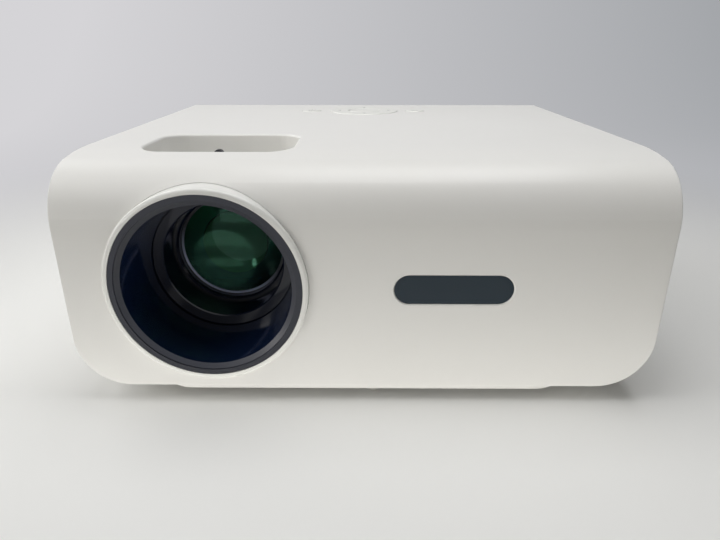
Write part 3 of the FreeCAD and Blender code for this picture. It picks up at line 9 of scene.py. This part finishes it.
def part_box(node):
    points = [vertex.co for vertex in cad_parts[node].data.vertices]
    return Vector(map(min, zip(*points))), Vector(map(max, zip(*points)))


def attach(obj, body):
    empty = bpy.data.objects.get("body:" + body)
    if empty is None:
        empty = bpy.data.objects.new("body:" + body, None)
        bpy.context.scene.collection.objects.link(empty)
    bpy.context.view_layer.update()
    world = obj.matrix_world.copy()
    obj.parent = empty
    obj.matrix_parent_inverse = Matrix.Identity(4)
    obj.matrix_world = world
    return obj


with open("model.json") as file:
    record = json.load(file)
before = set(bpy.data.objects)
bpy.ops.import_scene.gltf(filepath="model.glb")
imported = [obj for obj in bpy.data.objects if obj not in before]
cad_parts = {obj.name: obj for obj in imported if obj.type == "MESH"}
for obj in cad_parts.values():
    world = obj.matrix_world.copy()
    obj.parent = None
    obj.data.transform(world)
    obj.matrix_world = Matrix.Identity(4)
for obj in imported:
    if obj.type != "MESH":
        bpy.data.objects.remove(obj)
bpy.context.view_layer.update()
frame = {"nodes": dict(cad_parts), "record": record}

MM = 0.001
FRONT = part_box("lower_shell")[0][1]


# ---- camera, light and floor ----

CAMERA_LENS = 28.3
CAMERA_PITCH = 21.88
CAMERA_YAW = 0.416
CAMERA_BACK = 205.0 * MM
CAMERA_HEIGHT = 142.5 * MM

# how far in front of the object the floor's bounce light fades out
FLOOR_BOUNCE = (70.0 * MM, 130.0 * MM)
# how far from the object's middle the floor turns into the even backdrop
BACKDROP_BLEND = (200.0 * MM, 550.0 * MM)
# where the backdrop's painted shade is lightest, at the left, and darkest, at the right
BACKDROP_SIDES = (-600.0 * MM, 900.0 * MM)

# a white card lies flat on the floor in front, facing up, and brightens the foot of the front
CARD_Y = FRONT - 60.0 * MM
# name: place, target, width and depth in metres, watts, colour
LAMPS = {
    "left_softbox": ((-0.9, 0.1, 0.7), (0.0, 0.0, 0.05), (1.3, 1.1), 5.2, "#ffffff"),
    "overhead_pool": ((0.05, 0.0, 0.55), (0.05, 0.0, 0.0), (0.4, 0.3), 1.0, "#ffffff"),
    "overhead_front": ((0.05, -0.12, 0.8), (0.03, -0.05, 0.0), (0.5, 0.3), 1.2, "#ffffff"),
    "back_left_softbox": ((-0.7, 0.5, 0.9), (0.0, 0.0, 0.05), (0.8, 0.8), 0.4, "#ffffff"),
    "front_left_softbox": ((-0.7, -0.5, 0.9), (0.0, 0.0, 0.05), (0.8, 0.8), 2.2, "#fffefa"),
    "front_low_strip": ((0.0, -1.2, 0.16), (0.0, 0.0, 0.05), (1.0, 0.2), 0.7, "#fffcf6"),
    "floor_card": ((0.0, CARD_Y, 0.6 * MM), (0.0, CARD_Y, 1.0), (0.32, 0.12), 0.092, "#fffdf8"),
    "front_left_low_strip": ((-0.9, -0.8, 0.16), (0.0, 0.0, 0.05), (0.6, 0.2), 2.1, "#fffcf6"),
}


def linear(hex_colour):
    """An sRGB hex colour as the linear values that a shader takes."""
    channels = [int(hex_colour[i:i + 2], 16) / 255 for i in (1, 3, 5)]
    return [c / 12.92 if c <= 0.04045 else ((c + 0.055) / 1.055) ** 2.4 for c in channels] + [1.0]


def add_camera():
    data = bpy.data.cameras.new("camera")
    data.lens = CAMERA_LENS
    data.clip_start = 0.01
    camera = bpy.data.objects.new("camera", data)
    camera.location = (0.0, FRONT - CAMERA_BACK, CAMERA_HEIGHT)
    camera.rotation_euler = (math.radians(90 - CAMERA_PITCH), 0.0, math.radians(CAMERA_YAW))
    bpy.context.collection.objects.link(camera)
    bpy.context.scene.camera = camera


def add_lamps():
    for name, (place, target, size, watts, colour) in LAMPS.items():
        data = bpy.data.lights.new(name, "AREA")
        data.shape = "RECTANGLE"
        data.size, data.size_y = size
        data.energy = watts
        data.color = linear(colour)[:3]
        lamp = bpy.data.objects.new(name, data)
        lamp.location = place
        lamp.rotation_euler = (Vector(target) - Vector(place)).to_track_quat("-Z", "Y").to_euler()
        # the glossy window and bezel would mirror the card
        lamp.visible_glossy = name != "floor_card"
        bpy.context.collection.objects.link(lamp)


# ---- materials ----

# sockets of a Mix node: the factor, the two numbers, the two colours, and the blended colour
MIX_FACTOR, MIX_LOW, MIX_HIGH, MIX_A, MIX_B, MIX_RESULT = 0, 2, 3, 6, 7, 2

# outputs of Texture Coordinate, Separate XYZ and Vector Math
OBJECT_COORDINATES, Y_PART, NUMBER_RESULT = 3, 1, 1

# sizes of slow patterns on a moulding: tone drift along the flow, and patches of uneven gloss
DRIFT_MM, PATCH_MM = 60.0, 9.0


def new_finish(name):
    material = bpy.data.materials.new(name)
    material.use_nodes = True
    material.node_tree.nodes.clear()
    return material, material.node_tree


def add_node(tree, kind, settings=None, inputs=None, output=0):
    """Add a node with its settings and inputs (values, or sockets to link), and give one output."""
    node = tree.nodes.new(kind)
    for name, value in (settings or {}).items():
        setattr(node, name, value)
    for name, value in (inputs or {}).items():
        if isinstance(value, bpy.types.NodeSocket):
            tree.links.new(value, node.inputs[name])
        else:
            node.inputs[name].default_value = value
    return node.outputs[output] if node.outputs else None


def repeats(size_mm):
    """The noise scale that gives a pattern its real size in millimetres."""
    return 1 / (size_mm * MM)


def surface(tree, inputs):
    """End a finish: the shader with these inputs goes to the output."""
    shader = add_node(tree, "ShaderNodeBsdfPrincipled", None, inputs)
    add_node(tree, "ShaderNodeOutputMaterial", None, {"Surface": shader})


def moulded(name, light, dark, roughness, spread=0.05, grain_mm=0.6, depth_mm=0.012, ior=1.5):
    """A moulded or coated part: faint tone drift, uneven gloss, and a fine grain in its skin.

    The grain of a real mould is about 0.1 mm, and is drawn coarser here so that it shows.
    """
    material, tree = new_finish(name)
    place = add_node(tree, "ShaderNodeTexCoord", output=OBJECT_COORDINATES)
    drift = add_node(tree, "ShaderNodeTexNoise", None, {"Vector": place, "Scale": repeats(DRIFT_MM)})
    cloud = add_node(tree, "ShaderNodeTexNoise", None, {
        "Vector": place, "Scale": repeats(PATCH_MM), "Detail": 3.0})
    grain = add_node(tree, "ShaderNodeTexNoise", None, {"Vector": place, "Scale": repeats(grain_mm)})
    colour = add_node(tree, "ShaderNodeMix", {"data_type": "RGBA"}, {
        MIX_FACTOR: drift, MIX_A: linear(light), MIX_B: linear(dark)}, MIX_RESULT)
    gloss = add_node(tree, "ShaderNodeMapRange", None, {
        "Value": cloud, "To Min": roughness - spread, "To Max": roughness + spread})
    relief = add_node(tree, "ShaderNodeBump", None, {"Height": grain, "Distance": depth_mm * MM})
    surface(tree, {"Base Color": colour, "Roughness": gloss, "IOR": ior, "Normal": relief})
    return material


def metal(name, light, dark, roughness):
    """Bare or plated metal with streaks from side to side, coarser than real so that they show."""
    streak_mm, squeeze, depth_mm = 8.0, 12.0, 0.006
    smoother, rougher = 0.06, 0.08
    material, tree = new_finish(name)
    place = add_node(tree, "ShaderNodeTexCoord", output=OBJECT_COORDINATES)
    stretched = add_node(tree, "ShaderNodeMapping", None, {
        "Vector": place, "Scale": (1.0, squeeze, 1.0)})
    streaks = add_node(tree, "ShaderNodeTexNoise", None, {
        "Vector": stretched, "Scale": repeats(streak_mm), "Detail": 4.0})
    colour = add_node(tree, "ShaderNodeMix", {"data_type": "RGBA"}, {
        MIX_FACTOR: streaks, MIX_A: linear(light), MIX_B: linear(dark)}, MIX_RESULT)
    gloss = add_node(tree, "ShaderNodeMapRange", None, {
        "Value": streaks, "To Min": roughness - smoother, "To Max": roughness + rougher})
    relief = add_node(tree, "ShaderNodeBump", None, {"Height": streaks, "Distance": depth_mm * MM})
    surface(tree, {"Base Color": colour, "Roughness": gloss, "Metallic": 1.0, "Normal": relief})
    return material


def hood_black(name, bezel, inside, edge_y):
    """Black polycarbonate: a satin bezel and bevel before edge_y, a polished cone behind it."""
    material, tree = new_finish(name)
    place = add_node(tree, "ShaderNodeTexCoord", output=OBJECT_COORDINATES)
    depth = add_node(tree, "ShaderNodeSeparateXYZ", None, {"Vector": place}, Y_PART)
    change_mm, cloud_mm, grain_mm, depth_mm = 0.05, 6.0, 0.7, 0.004
    behind = add_node(tree, "ShaderNodeMapRange", None, {
        "Value": depth, "From Min": edge_y - change_mm * MM, "From Max": edge_y + change_mm * MM})
    cloud = add_node(tree, "ShaderNodeTexNoise", None, {"Vector": place, "Scale": repeats(cloud_mm)})
    grain = add_node(tree, "ShaderNodeTexNoise", None, {"Vector": place, "Scale": repeats(grain_mm)})
    satin = add_node(tree, "ShaderNodeMapRange", None, {
        "Value": cloud, "To Min": 0.32, "To Max": 0.4})
    polish = add_node(tree, "ShaderNodeMapRange", None, {
        "Value": cloud, "To Min": 0.07, "To Max": 0.12})
    gloss = add_node(tree, "ShaderNodeMix", None, {
        MIX_FACTOR: behind, MIX_LOW: satin, MIX_HIGH: polish})
    colour = add_node(tree, "ShaderNodeMix", {"data_type": "RGBA"}, {
        MIX_FACTOR: behind, MIX_A: linear(bezel), MIX_B: linear(inside)}, MIX_RESULT)
    relief = add_node(tree, "ShaderNodeBump", None, {"Height": grain, "Distance": depth_mm * MM})
    surface(tree, {"Base Color": colour, "Roughness": gloss, "IOR": 1.58, "Normal": relief})
    return material


def clear_glass(name, tint, coating):
    """Polished optical glass: coating is the tint of its anti-reflection film, uneven by a hair."""
    material, tree = new_finish(name)
    place = add_node(tree, "ShaderNodeTexCoord", output=OBJECT_COORDINATES)
    film_mm = 25.0
    film = add_node(tree, "ShaderNodeTexNoise", None, {"Vector": place, "Scale": repeats(film_mm)})
    colour = add_node(tree, "ShaderNodeMix", {"data_type": "RGBA"}, {
        MIX_FACTOR: film, MIX_A: linear(tint), MIX_B: linear(coating)}, MIX_RESULT)
    surface(tree, {"Base Color": colour, "Roughness": 0.02, "IOR": 1.52, "Transmission Weight": 1.0,
                   "Specular Tint": linear(coating)})
    return material


def painted_light_grade(name, low, high, middle, towards, reach_mm, roughness):
    """A smooth part with painted light: its tone runs across it, from low to high towards one side.
    """
    material, tree = new_finish(name)
    place = add_node(tree, "ShaderNodeTexCoord", output=OBJECT_COORDINATES)
    towards = Vector(towards).normalized()
    here = towards.dot(Vector(middle))
    along = add_node(tree, "ShaderNodeVectorMath", {
        "operation": "DOT_PRODUCT"}, {0: place, 1: towards}, NUMBER_RESULT)
    share = add_node(tree, "ShaderNodeMapRange", {"interpolation_type": "SMOOTHSTEP"}, {
        "Value": along, "From Min": here - reach_mm * MM, "From Max": here + reach_mm * MM})
    colour = add_node(tree, "ShaderNodeMix", {"data_type": "RGBA"}, {
        MIX_FACTOR: share, MIX_A: linear(low), MIX_B: linear(high)}, MIX_RESULT)
    surface(tree, {"Base Color": colour, "Roughness": roughness, "IOR": 1.5})
    return material


def make_materials():
    """Every finish by the name that dress and the pieces use; each comment says what it shows."""
    bevel_end = FRONT - 0.6 * MM
    lens_middle = Vector(middle_of("front_lens"))
    # where the painted highlight on the ground edge is brightest
    painted_highlight_middle = lens_middle + Vector((-5.0, 0.0, -10.0)) * MM
    up, up_and_right = (0, 0, 1), (0.5, 0, 1)
    return {
        # soft satin that holds one broad highlight along the roll
        "shell": moulded("pearl_white_abs", "#eae9e6", "#e7e6e2", 0.36, 0.04, 0.7, 0.010),
        # brighter and glossier than the shell, so that the ring stands off it
        "ring": moulded("gloss_white_abs", "#eeeeea", "#ebebe7", 0.24, 0.03, 0.9, 0.006),
        # a touch duller than the shell
        "key": moulded("white_abs_keycap", "#e8e8e4", "#e3e3de", 0.42),
        # flat and slightly darker than the shell
        "panel": moulded("white_abs_panel", "#dfded8", "#d8d7d1", 0.5),
        # dull grey ink, softly set against the white of the keys
        "mark": moulded("pad_printed_grey", "#9b9c9b", "#929392", 0.5, 0.05, 0.3, 0.004),
        # neutral black with a soft sheen
        "black": moulded("black_abs", "#15161a", "#1c1d21", 0.42),
        # a grey-black satin lip round a blue-black funnel with a mirror's gloss
        "hood": hood_black("black_polycarbonate", "#20232f", "#101d38", bevel_end),
        # polished blue-black that catches thin crescents of light
        "barrel": moulded("gloss_black_barrel", "#0a1022", "#0c1326", 0.1, 0.02, 4.0, 0.003),
        # dark slate blue, even and clean
        "smoke": moulded(
            "smoked_infrared_acrylic", "#0f232f", "#132733", 0.16, 0.02, 5.0, 0.003, 1.49),
        # matt, with a coarse skin
        "rubber": moulded("grey_rubber", "#cfcec9", "#c6c5c0", 0.7, 0.06, 0.8, 0.03),
        # bright neutral grey of screws, springs and shafts
        "steel": metal("zinc_plated_steel", "#c2c3c2", "#a9abab", 0.3),
        # dark, so that the recesses read as holes
        "dark_steel": metal("blackened_steel", "#3d3e40", "#2e2f31", 0.4),
        # cool grey, duller than plated steel
        "sheet": metal("galvanised_sheet", "#b9bcbd", "#a3a7a9", 0.38),
        # warm yellow metal
        "brass": metal("turned_brass", "#c79a4c", "#b1863f", 0.28),
        # lighter yellow than brass, for thin bright strips
        "gold": metal("gold_flashed_contact", "#d9b45a", "#cda64c", 0.25),
        # warm white, the shiniest of the metals
        "nickel": metal("nickel_plate", "#c9c7c0", "#b9b7b0", 0.22),
        # pale cool grey
        "aluminium": metal("extruded_aluminium", "#c9cbcc", "#b6b9bb", 0.35),
        # deep green lacquer with a soft gloss
        "board": moulded("green_solder_mask", "#11432a", "#0e3823", 0.35, 0.04, 1.5, 0.01),
        # flat black
        "component": moulded("black_epoxy_package", "#1b1b1c", "#232324", 0.55),
        # egg-yolk yellow
        "phosphor": moulded("yellow_phosphor", "#d9b93a", "#cfae30", 0.5),
        # dark and dull, with deep cells
        "foam": moulded("open_cell_foam", "#2c2c2e", "#3a3a3c", 0.95, 0.04, 1.2, 0.5),
        # clear, with a green cast in what it mirrors
        "lens": clear_glass("coated_front_glass", "#c4dcd0", "#7fb8a4"),
        # nearly colourless
        "optic": clear_glass("clear_optic_glass", "#eef4f2", "#dfe8ee"),
        # the dark green eye deep in the lens
        "inner": moulded(
            "green_coated_element", "#2a4528", "#253d26", 0.08, 0.01, 9.0, 0.002, 1.42),
        # painted reflection in the coating: green at the top of the lens, blue-black at the bottom
        "spacer": painted_light_grade("spacer_painted_reflection", "#0b1430", "#2c5f4c", lens_middle, up, 20.0, 0.2),
        # a painted highlight: a pale crescent at the low left, lost in painted shade elsewhere
        "ground": painted_light_grade(
            "ground_edge_painted_highlight", "#d3ddfa", "#0c111c", painted_highlight_middle, up_and_right, 12.0, 0.3),
    }


# ---- pieces ----

HOUSING = "housing"
# edges that bend more than this stay crisp
SHARP_EDGE = math.radians(35)


def lathe(bm, centre, axis, profile, steps=96, turn=math.tau):
    """Turn a profile of (distance along the axis, radius) points, in millimetres, round an axis."""
    centre, along = Vector(centre), Vector(axis)
    across = along.orthogonal().normalized()
    verts = [bm.verts.new(centre + (along * a + across * r) * MM) for a, r in profile]
    edges = [bm.edges.new(pair) for pair in zip(verts, verts[1:])]
    bmesh.ops.spin(bm, geom=verts + edges, cent=centre, axis=along, angle=turn, steps=steps,
                   use_merge=turn == math.tau)


def block(bm, middle, size, turn=0.0):
    """A block of a size in millimetres about its middle in metres, turned about Z."""
    scale = Matrix.Diagonal([value * MM for value in size] + [1.0])
    bmesh.ops.create_cube(bm, size=1.0, matrix=Matrix.Translation(middle)
                          @ Matrix.Rotation(turn, 4, "Z") @ scale)


def smooth_mesh(name, bm):
    """Make a smoothly shaded mesh of bm, which ends there."""
    mesh = bpy.data.meshes.new(name)
    bm.to_mesh(mesh)
    bm.free()
    for face in mesh.polygons:
        face.use_smooth = True
    return mesh


def add_piece(name, bm, finish, body):
    """Make a piece of bm, smooth but for its sharp edges, and put it on a body."""
    bmesh.ops.remove_doubles(bm, verts=bm.verts[:], dist=1e-6)
    bmesh.ops.recalc_face_normals(bm, faces=bm.faces[:])
    mesh = smooth_mesh(name, bm)
    mesh.set_sharp_from_angle(angle=SHARP_EDGE)
    mesh.materials.append(finish)
    thing = bpy.data.objects.new(name, mesh)
    bpy.context.collection.objects.link(thing)
    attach(thing, body)


def middle_of(node):
    """The middle of a node's box."""
    low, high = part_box(node)
    return [(a + b) / 2 for a, b in zip(low, high)]


def add_lens_group(materials):
    """What is seen through the front glass: its ground edge, a spacer and the next element."""
    x, _, z = middle_of("front_lens")
    glass_front, glass_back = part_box("front_lens")[0][1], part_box("front_lens")[1][1]
    element_gap, spacer_gap, edge_inset = 0.2, 1.2, 3.2
    back = (0, 1, 0)
    rim, hollow, thick = 14.5, 1.4, 5.0
    face = [(hollow - hollow * (r / rim) ** 2, r) for r in (0.0, 3.0, 6.0, 9.0, 11.5, 13.5, rim)]
    bm = bmesh.new()
    lathe(bm, (x, glass_back + element_gap * MM, z), back, [*face, (thick, rim), (thick, 0.0)])
    add_piece("inner_element", bm, materials["inner"], "lens_barrel")
    inside, outside, end = 14.7, 27.3, 6.0
    cone = [(0.0, inside), (-1.5, 21.0), (-2.6, 25.0), (-2.6, outside)]
    bm = bmesh.new()
    lathe(bm, (x, glass_back + spacer_gap * MM, z), back,
          [*cone, (end, outside), (end, inside), cone[0]])
    add_piece("lens_spacer", bm, materials["spacer"], "lens_barrel")
    chamfer = [(0.0, 24.75), (-0.25, 23.5), (-0.5, 23.6), (-0.5, 24.6)]
    bm = bmesh.new()
    lathe(bm, (x, glass_front + edge_inset * MM, z), back, [*chamfer, chamfer[0]])
    add_piece("ground_edge", bm, materials["ground"], "lens_barrel")


# a key mark in millimetres: its thickness, how far it stands out of its key, and its line width
MARK_THICK, MARK_PROUD, MARK_LINE = 0.1, 0.03, 0.5


def key_top(node):
    """The place for the middle of a mark on a key."""
    x, y, _ = middle_of(node)
    return Vector((x, y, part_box(node)[1][2] + (MARK_PROUD - MARK_THICK / 2) * MM))


def triangle(bm, middle, radius, heading):
    """A flat arrowhead on a key that points along a heading."""
    bmesh.ops.create_cone(bm, cap_ends=True, segments=3, radius1=radius * MM, radius2=radius * MM,
                          depth=MARK_THICK * MM, matrix=Matrix.Translation(middle)
                          @ Matrix.Rotation(heading - math.pi / 2, 4, "Z"))


def open_ring(bm, centre, inner, outer, gap_degrees):
    """A flat ring on a key, with a gap at its back."""
    half = MARK_THICK / 2
    section = [(-half, inner), (half, inner), (half, outer), (-half, outer), (-half, inner)]
    ring = bmesh.new()
    lathe(ring, (0, 0, 0), (0, 0, 1), section, 40, math.radians(360 - gap_degrees))
    bmesh.ops.rotate(ring, verts=ring.verts, cent=(0, 0, 0),
                     matrix=Matrix.Rotation(math.radians(gap_degrees / 2), 3, "Z"))
    bmesh.ops.remove_doubles(ring, verts=ring.verts[:], dist=1e-7)
    bmesh.ops.holes_fill(ring, edges=[e for e in ring.edges if e.is_boundary], sides=4)
    bmesh.ops.translate(ring, verts=ring.verts, vec=centre)
    mesh = bpy.data.meshes.new("ring")
    ring.to_mesh(mesh)
    ring.free()
    bm.from_mesh(mesh)
    bpy.data.meshes.remove(mesh)


def add_key_marks(materials):
    """Raised marks on the keys: four arrows, a power sign and a return arrow."""
    arrow_reach, arrow_radius = 15.7, 1.5
    bm = bmesh.new()
    centre = key_top("direction_ring")
    for quarter in range(4):
        heading = quarter * math.pi / 2
        outward = Vector((math.cos(heading), math.sin(heading), 0.0))
        triangle(bm, centre + outward * arrow_reach * MM, arrow_radius, heading)
    add_piece("direction_marks", bm, materials["mark"], "direction_ring")
    bar, bar_up, ring_radius, ring_gap = 2.6, 1.5, 1.9, 70
    bm = bmesh.new()
    centre = key_top("power_button")
    block(bm, centre + Vector((0, bar_up, 0)) * MM, (MARK_LINE, bar, MARK_THICK))
    open_ring(bm, centre, ring_radius, ring_radius + MARK_LINE, ring_gap)
    add_piece("power_mark", bm, materials["mark"], "power_button")
    stem, stem_right, head_left, head_radius = 2.6, 0.8, 1.3, 1.3
    bm = bmesh.new()
    centre = key_top("back_button")
    block(bm, centre + Vector((stem_right, 0, 0)) * MM, (stem, MARK_LINE, MARK_THICK))
    triangle(bm, centre - Vector((head_left, 0, 0)) * MM, head_radius, math.pi)
    add_piece("back_mark", bm, materials["mark"], "back_button")


# node: number of contacts, their pitch and width, and the thickness of the tongue that they lie on
CONTACTS = {"hdmi_socket": (9, 1.0, 0.45, 1.0), "usb_socket": (4, 2.2, 1.1, 1.8)}


def add_socket_metal(materials):
    """Gold contacts on the plug tongues, nickel pins in the mains inlet, rings round the jacks."""
    contact_long, contact_inset, plating = 7.6, 5.6, 0.08
    bm = bmesh.new()
    for node, (count, pitch, width, tongue) in CONTACTS.items():
        x, _, z = middle_of(node)
        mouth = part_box(node)[1][1]
        for number in range(count):
            across = x + (number - (count - 1) / 2) * pitch * MM
            block(bm, (across, mouth - contact_inset * MM, z),
                  (width, contact_long, tongue + plating))
    add_piece("socket_contacts", bm, materials["gold"], HOUSING)
    pin = [(0.0, 0.0), (0.0, 1.23), (5.6, 1.23), (6.05, 0.85), (6.05, 0.0)]
    pin_spread, pin_start = 4.3, 9.0
    bm = bmesh.new()
    x, _, z = middle_of("power_inlet")
    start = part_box("power_inlet")[0][1] + pin_start * MM
    for side in (-pin_spread, pin_spread):
        lathe(bm, (x + side * MM, start, z), (0, 1, 0), pin, 32)
    add_piece("inlet_pins", bm, materials["nickel"], HOUSING)
    jack_inset = 4.0
    ring = [(-1.0, 1.78), (0.05, 1.78), (0.15, 1.9), (0.15, 2.9), (0.0, 3.0)]
    bm = bmesh.new()
    low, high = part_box("av_jacks")
    for x in (low[0] + jack_inset * MM, high[0] - jack_inset * MM):
        lathe(bm, (x, high[1], (low[2] + high[2]) / 2), (0, 1, 0), [*ring, ring[0]], 48)
    add_piece("jack_rings", bm, materials["nickel"], HOUSING)


def add_bottom_fittings(materials):
    """Cross recesses on the plate's screws, and the thread of the tripod bush."""
    head_radius, slot_size, slot_turn = 2.8, (3.0, 0.75, 0.06), 0.4
    bm = bmesh.new()
    low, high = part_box("plate_screws")
    for x in (low[0] + head_radius * MM, high[0] - head_radius * MM):
        for y in (low[1] + head_radius * MM, high[1] - head_radius * MM):
            for turn in (0.0, math.pi / 2):
                block(bm, (x, y, low[2]), slot_size, turn + slot_turn)
    add_piece("screw_recesses", bm, materials["dark_steel"], HOUSING)
    # a 1/4-20 UNC thread, drawn as rings
    pitch, turns, root, crest, outside, start = 1.27, 7, 3.2, 2.65, 3.4, 0.3
    flanks = [(number * pitch / 2, root if number % 2 == 0 else crest)
              for number in range(2 * turns + 1)]
    bm = bmesh.new()
    x, y, _ = middle_of("tripod_insert")
    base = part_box("tripod_insert")[0][2]
    lathe(bm, (x, y, base + start * MM), (0, 0, 1),
          [*flanks, (turns * pitch, outside), (0.0, outside), flanks[0]], 64)
    add_piece("tripod_thread", bm, materials["brass"], HOUSING)


def add_drive_details(materials):
    """Chucking balls and rubber mat on the hub, and the glass lens of the laser pickup."""
    x, y, _ = middle_of("disc_hub")
    low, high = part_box("disc_hub")[0][2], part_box("disc_hub")[1][2]
    table_height = 1.7
    mat = [(-0.3, 9.4), (0.15, 9.4), (0.25, 9.7), (0.25, 14.2), (0.15, 14.5), (-0.3, 14.5)]
    bm = bmesh.new()
    lathe(bm, (x, y, low + table_height * MM), (0, 0, 1), [*mat, mat[0]], 72)
    add_piece("hub_mat", bm, materials["black"], "disc_hub")
    balls, reach, radius, sunk, first_turn = 3, 6.6, 0.95, 1.0, 0.5
    bm = bmesh.new()
    for number in range(balls):
        heading = math.tau * number / balls + first_turn
        middle = Vector((x + reach * MM * math.cos(heading), y + reach * MM * math.sin(heading),
                         high - sunk * MM))
        bmesh.ops.create_uvsphere(bm, u_segments=20, v_segments=12, radius=radius * MM,
                                  matrix=Matrix.Translation(middle))
    add_piece("chucking_balls", bm, materials["steel"], "disc_hub")
    dome = [(-0.4, 0.0), (-0.4, 2.0), (0.0, 2.0), (0.2, 1.5), (0.3, 0.8), (0.33, 0.0)]
    bm = bmesh.new()
    lathe(bm, (middle_of("laser_sled")[0], y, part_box("laser_sled")[1][2]), (0, 0, 1), dome, 48)
    add_piece("pickup_lens", bm, materials["optic"], "laser_sled")


# ---- build ----

def dress(materials):
    """Give each CAD node the finish of its slot, or its own."""
    by_slot = {
        "shell_plastic": "shell", "key_plastic": "key", "hood_plastic": "hood",
        "black_plastic": "black", "ir_plastic": "smoke", "panel_plastic": "panel",
        "rubber": "rubber", "steel": "steel", "zinc_sheet": "sheet", "brass": "brass",
        "aluminium": "aluminium", "board": "board", "component": "component",
        "led_yellow": "phosphor", "filter_foam": "foam", "lens_glass": "lens",
        "optic_glass": "optic", "mirror_glass": "aluminium",
    }
    by_node = {"lens_ring": "ring", "lens_barrel": "barrel", "lens_sleeve": "barrel"}
    for part in frame["record"]["subparts"]:
        finish = by_node.get(part["node"], by_slot[part["material_slot"]])
        node = frame["nodes"][part["node"]]
        node.data.materials.clear()
        node.data.materials.append(materials[finish])


def add_stage():
    """The floor and backdrop: one sheet with a wide bend, in metres."""
    width, near, back, high, bend = 3.0, -1.5, 1.1, 2.2, 0.5
    bm = bmesh.new()
    bmesh.ops.create_grid(bm, x_segments=1, y_segments=1, size=1.0)
    for vert in bm.verts:
        vert.co = Vector((vert.co.x * width, near if vert.co.y < 0 else back, 0.0))
    edge = next(e for e in bm.edges if all(v.co.y > 0 for v in e.verts))
    wall = bmesh.ops.extrude_edge_only(bm, edges=[edge])
    for item in wall["geom"]:
        if isinstance(item, bmesh.types.BMVert):
            item.co.z = high
    crease = next(e for e in bm.edges
                  if all(abs(v.co.y - back) < 1e-6 and v.co.z < 1e-6 for v in e.verts))
    bmesh.ops.bevel(bm, geom=[crease], offset=bend, segments=16, profile=0.5, affect="EDGES",
                    material=-1)
    mesh = smooth_mesh("sweep", bm)
    mesh.materials.append(sweep_paper())
    sweep = bpy.data.objects.new("sweep", mesh)
    bpy.context.collection.objects.link(sweep)


def seen_directly(tree):
    """1 for the rays that look at a thing, straight or by a reflection or through glass."""
    path = add_node(tree, "ShaderNodeLightPath").node
    either = add_node(tree, "ShaderNodeMath", {"operation": "MAXIMUM"}, {
        0: path.outputs["Is Camera Ray"], 1: path.outputs["Is Glossy Ray"]})
    return add_node(tree, "ShaderNodeMath", {"operation": "MAXIMUM"}, {
        0: either, 1: path.outputs["Is Transmission Ray"]})


def sweep_paper():
    """Matt studio paper that turns, away from the object, into a backdrop with painted shade that
    darkens it rightwards.

    Its near part, out of view, gives no bounce light to the object.
    """
    material, tree = new_finish("matt_paper_sweep")
    place = add_node(tree, "ShaderNodeTexCoord", output=OBJECT_COORDINATES)
    side = add_node(tree, "ShaderNodeSeparateXYZ", None, {"Vector": place})
    depth = side.node.outputs["Y"]
    seen = seen_directly(tree)
    cloud_mm = 200.0
    fibre = add_node(tree, "ShaderNodeTexNoise", None, {"Vector": place, "Scale": repeats(cloud_mm)})
    paper = add_node(tree, "ShaderNodeMix", {"data_type": "RGBA"}, {
        MIX_FACTOR: fibre, MIX_A: linear("#f2f2f0"), MIX_B: linear("#f0f0ee")}, MIX_RESULT)
    near = add_node(tree, "ShaderNodeMapRange", {"interpolation_type": "SMOOTHSTEP"}, {
        "Value": depth, "From Min": FRONT - FLOOR_BOUNCE[1], "From Max": FRONT - FLOOR_BOUNCE[0]})
    shown = add_node(tree, "ShaderNodeMath", {"operation": "MAXIMUM"}, {0: near, 1: seen})
    colour = add_node(tree, "ShaderNodeMix", {"data_type": "RGBA"}, {
        MIX_FACTOR: shown, MIX_A: linear("#161616"), MIX_B: paper}, MIX_RESULT)
    floor = add_node(tree, "ShaderNodeBsdfPrincipled", None, {
        "Base Color": colour, "Roughness": 0.9})
    across = add_node(tree, "ShaderNodeMapRange", None, {
        "Value": side, "From Min": BACKDROP_SIDES[0], "From Max": BACKDROP_SIDES[1]})
    # painted shade: the backdrop is darker towards the right
    shade = add_node(tree, "ShaderNodeMix", {"data_type": "RGBA"}, {
        MIX_FACTOR: across, MIX_A: linear("#d5d4d7"), MIX_B: linear("#9da0a4")}, MIX_RESULT)
    backdrop = add_node(tree, "ShaderNodeEmission", None, {"Color": shade})
    far = add_node(tree, "ShaderNodeVectorMath", {"operation": "LENGTH"}, {0: place}, NUMBER_RESULT)
    away = add_node(tree, "ShaderNodeMapRange", {"interpolation_type": "SMOOTHSTEP"}, {
        "Value": far, "From Min": BACKDROP_BLEND[0], "From Max": BACKDROP_BLEND[1]})
    share = add_node(tree, "ShaderNodeMath", {"operation": "MULTIPLY"}, {0: away, 1: seen})
    mixed = add_node(tree, "ShaderNodeMixShader", None, {0: share, 1: floor, 2: backdrop})
    add_node(tree, "ShaderNodeOutputMaterial", None, {"Surface": mixed})
    return material


def add_world():
    """A pale room to look at and to mirror, which lights the object only a little."""
    world = bpy.data.worlds.new("studio")
    bpy.context.scene.world = world
    world.use_nodes = True
    tree = world.node_tree
    tree.nodes.clear()
    strength = add_node(tree, "ShaderNodeMapRange", None, {
        "Value": seen_directly(tree), "To Min": 0.05, "To Max": 1.0})
    background = add_node(tree, "ShaderNodeBackground", None, {
        "Color": linear("#d6d7d9"), "Strength": strength})
    add_node(tree, "ShaderNodeOutputWorld", None, {"Surface": background})


add_camera()
add_stage()
add_world()
add_lamps()
materials = make_materials()
dress(materials)
add_lens_group(materials)
add_key_marks(materials)
add_socket_metal(materials)
add_bottom_fittings(materials)
add_drive_details(materials)

bpy.context.scene.view_settings.view_transform = "Standard"
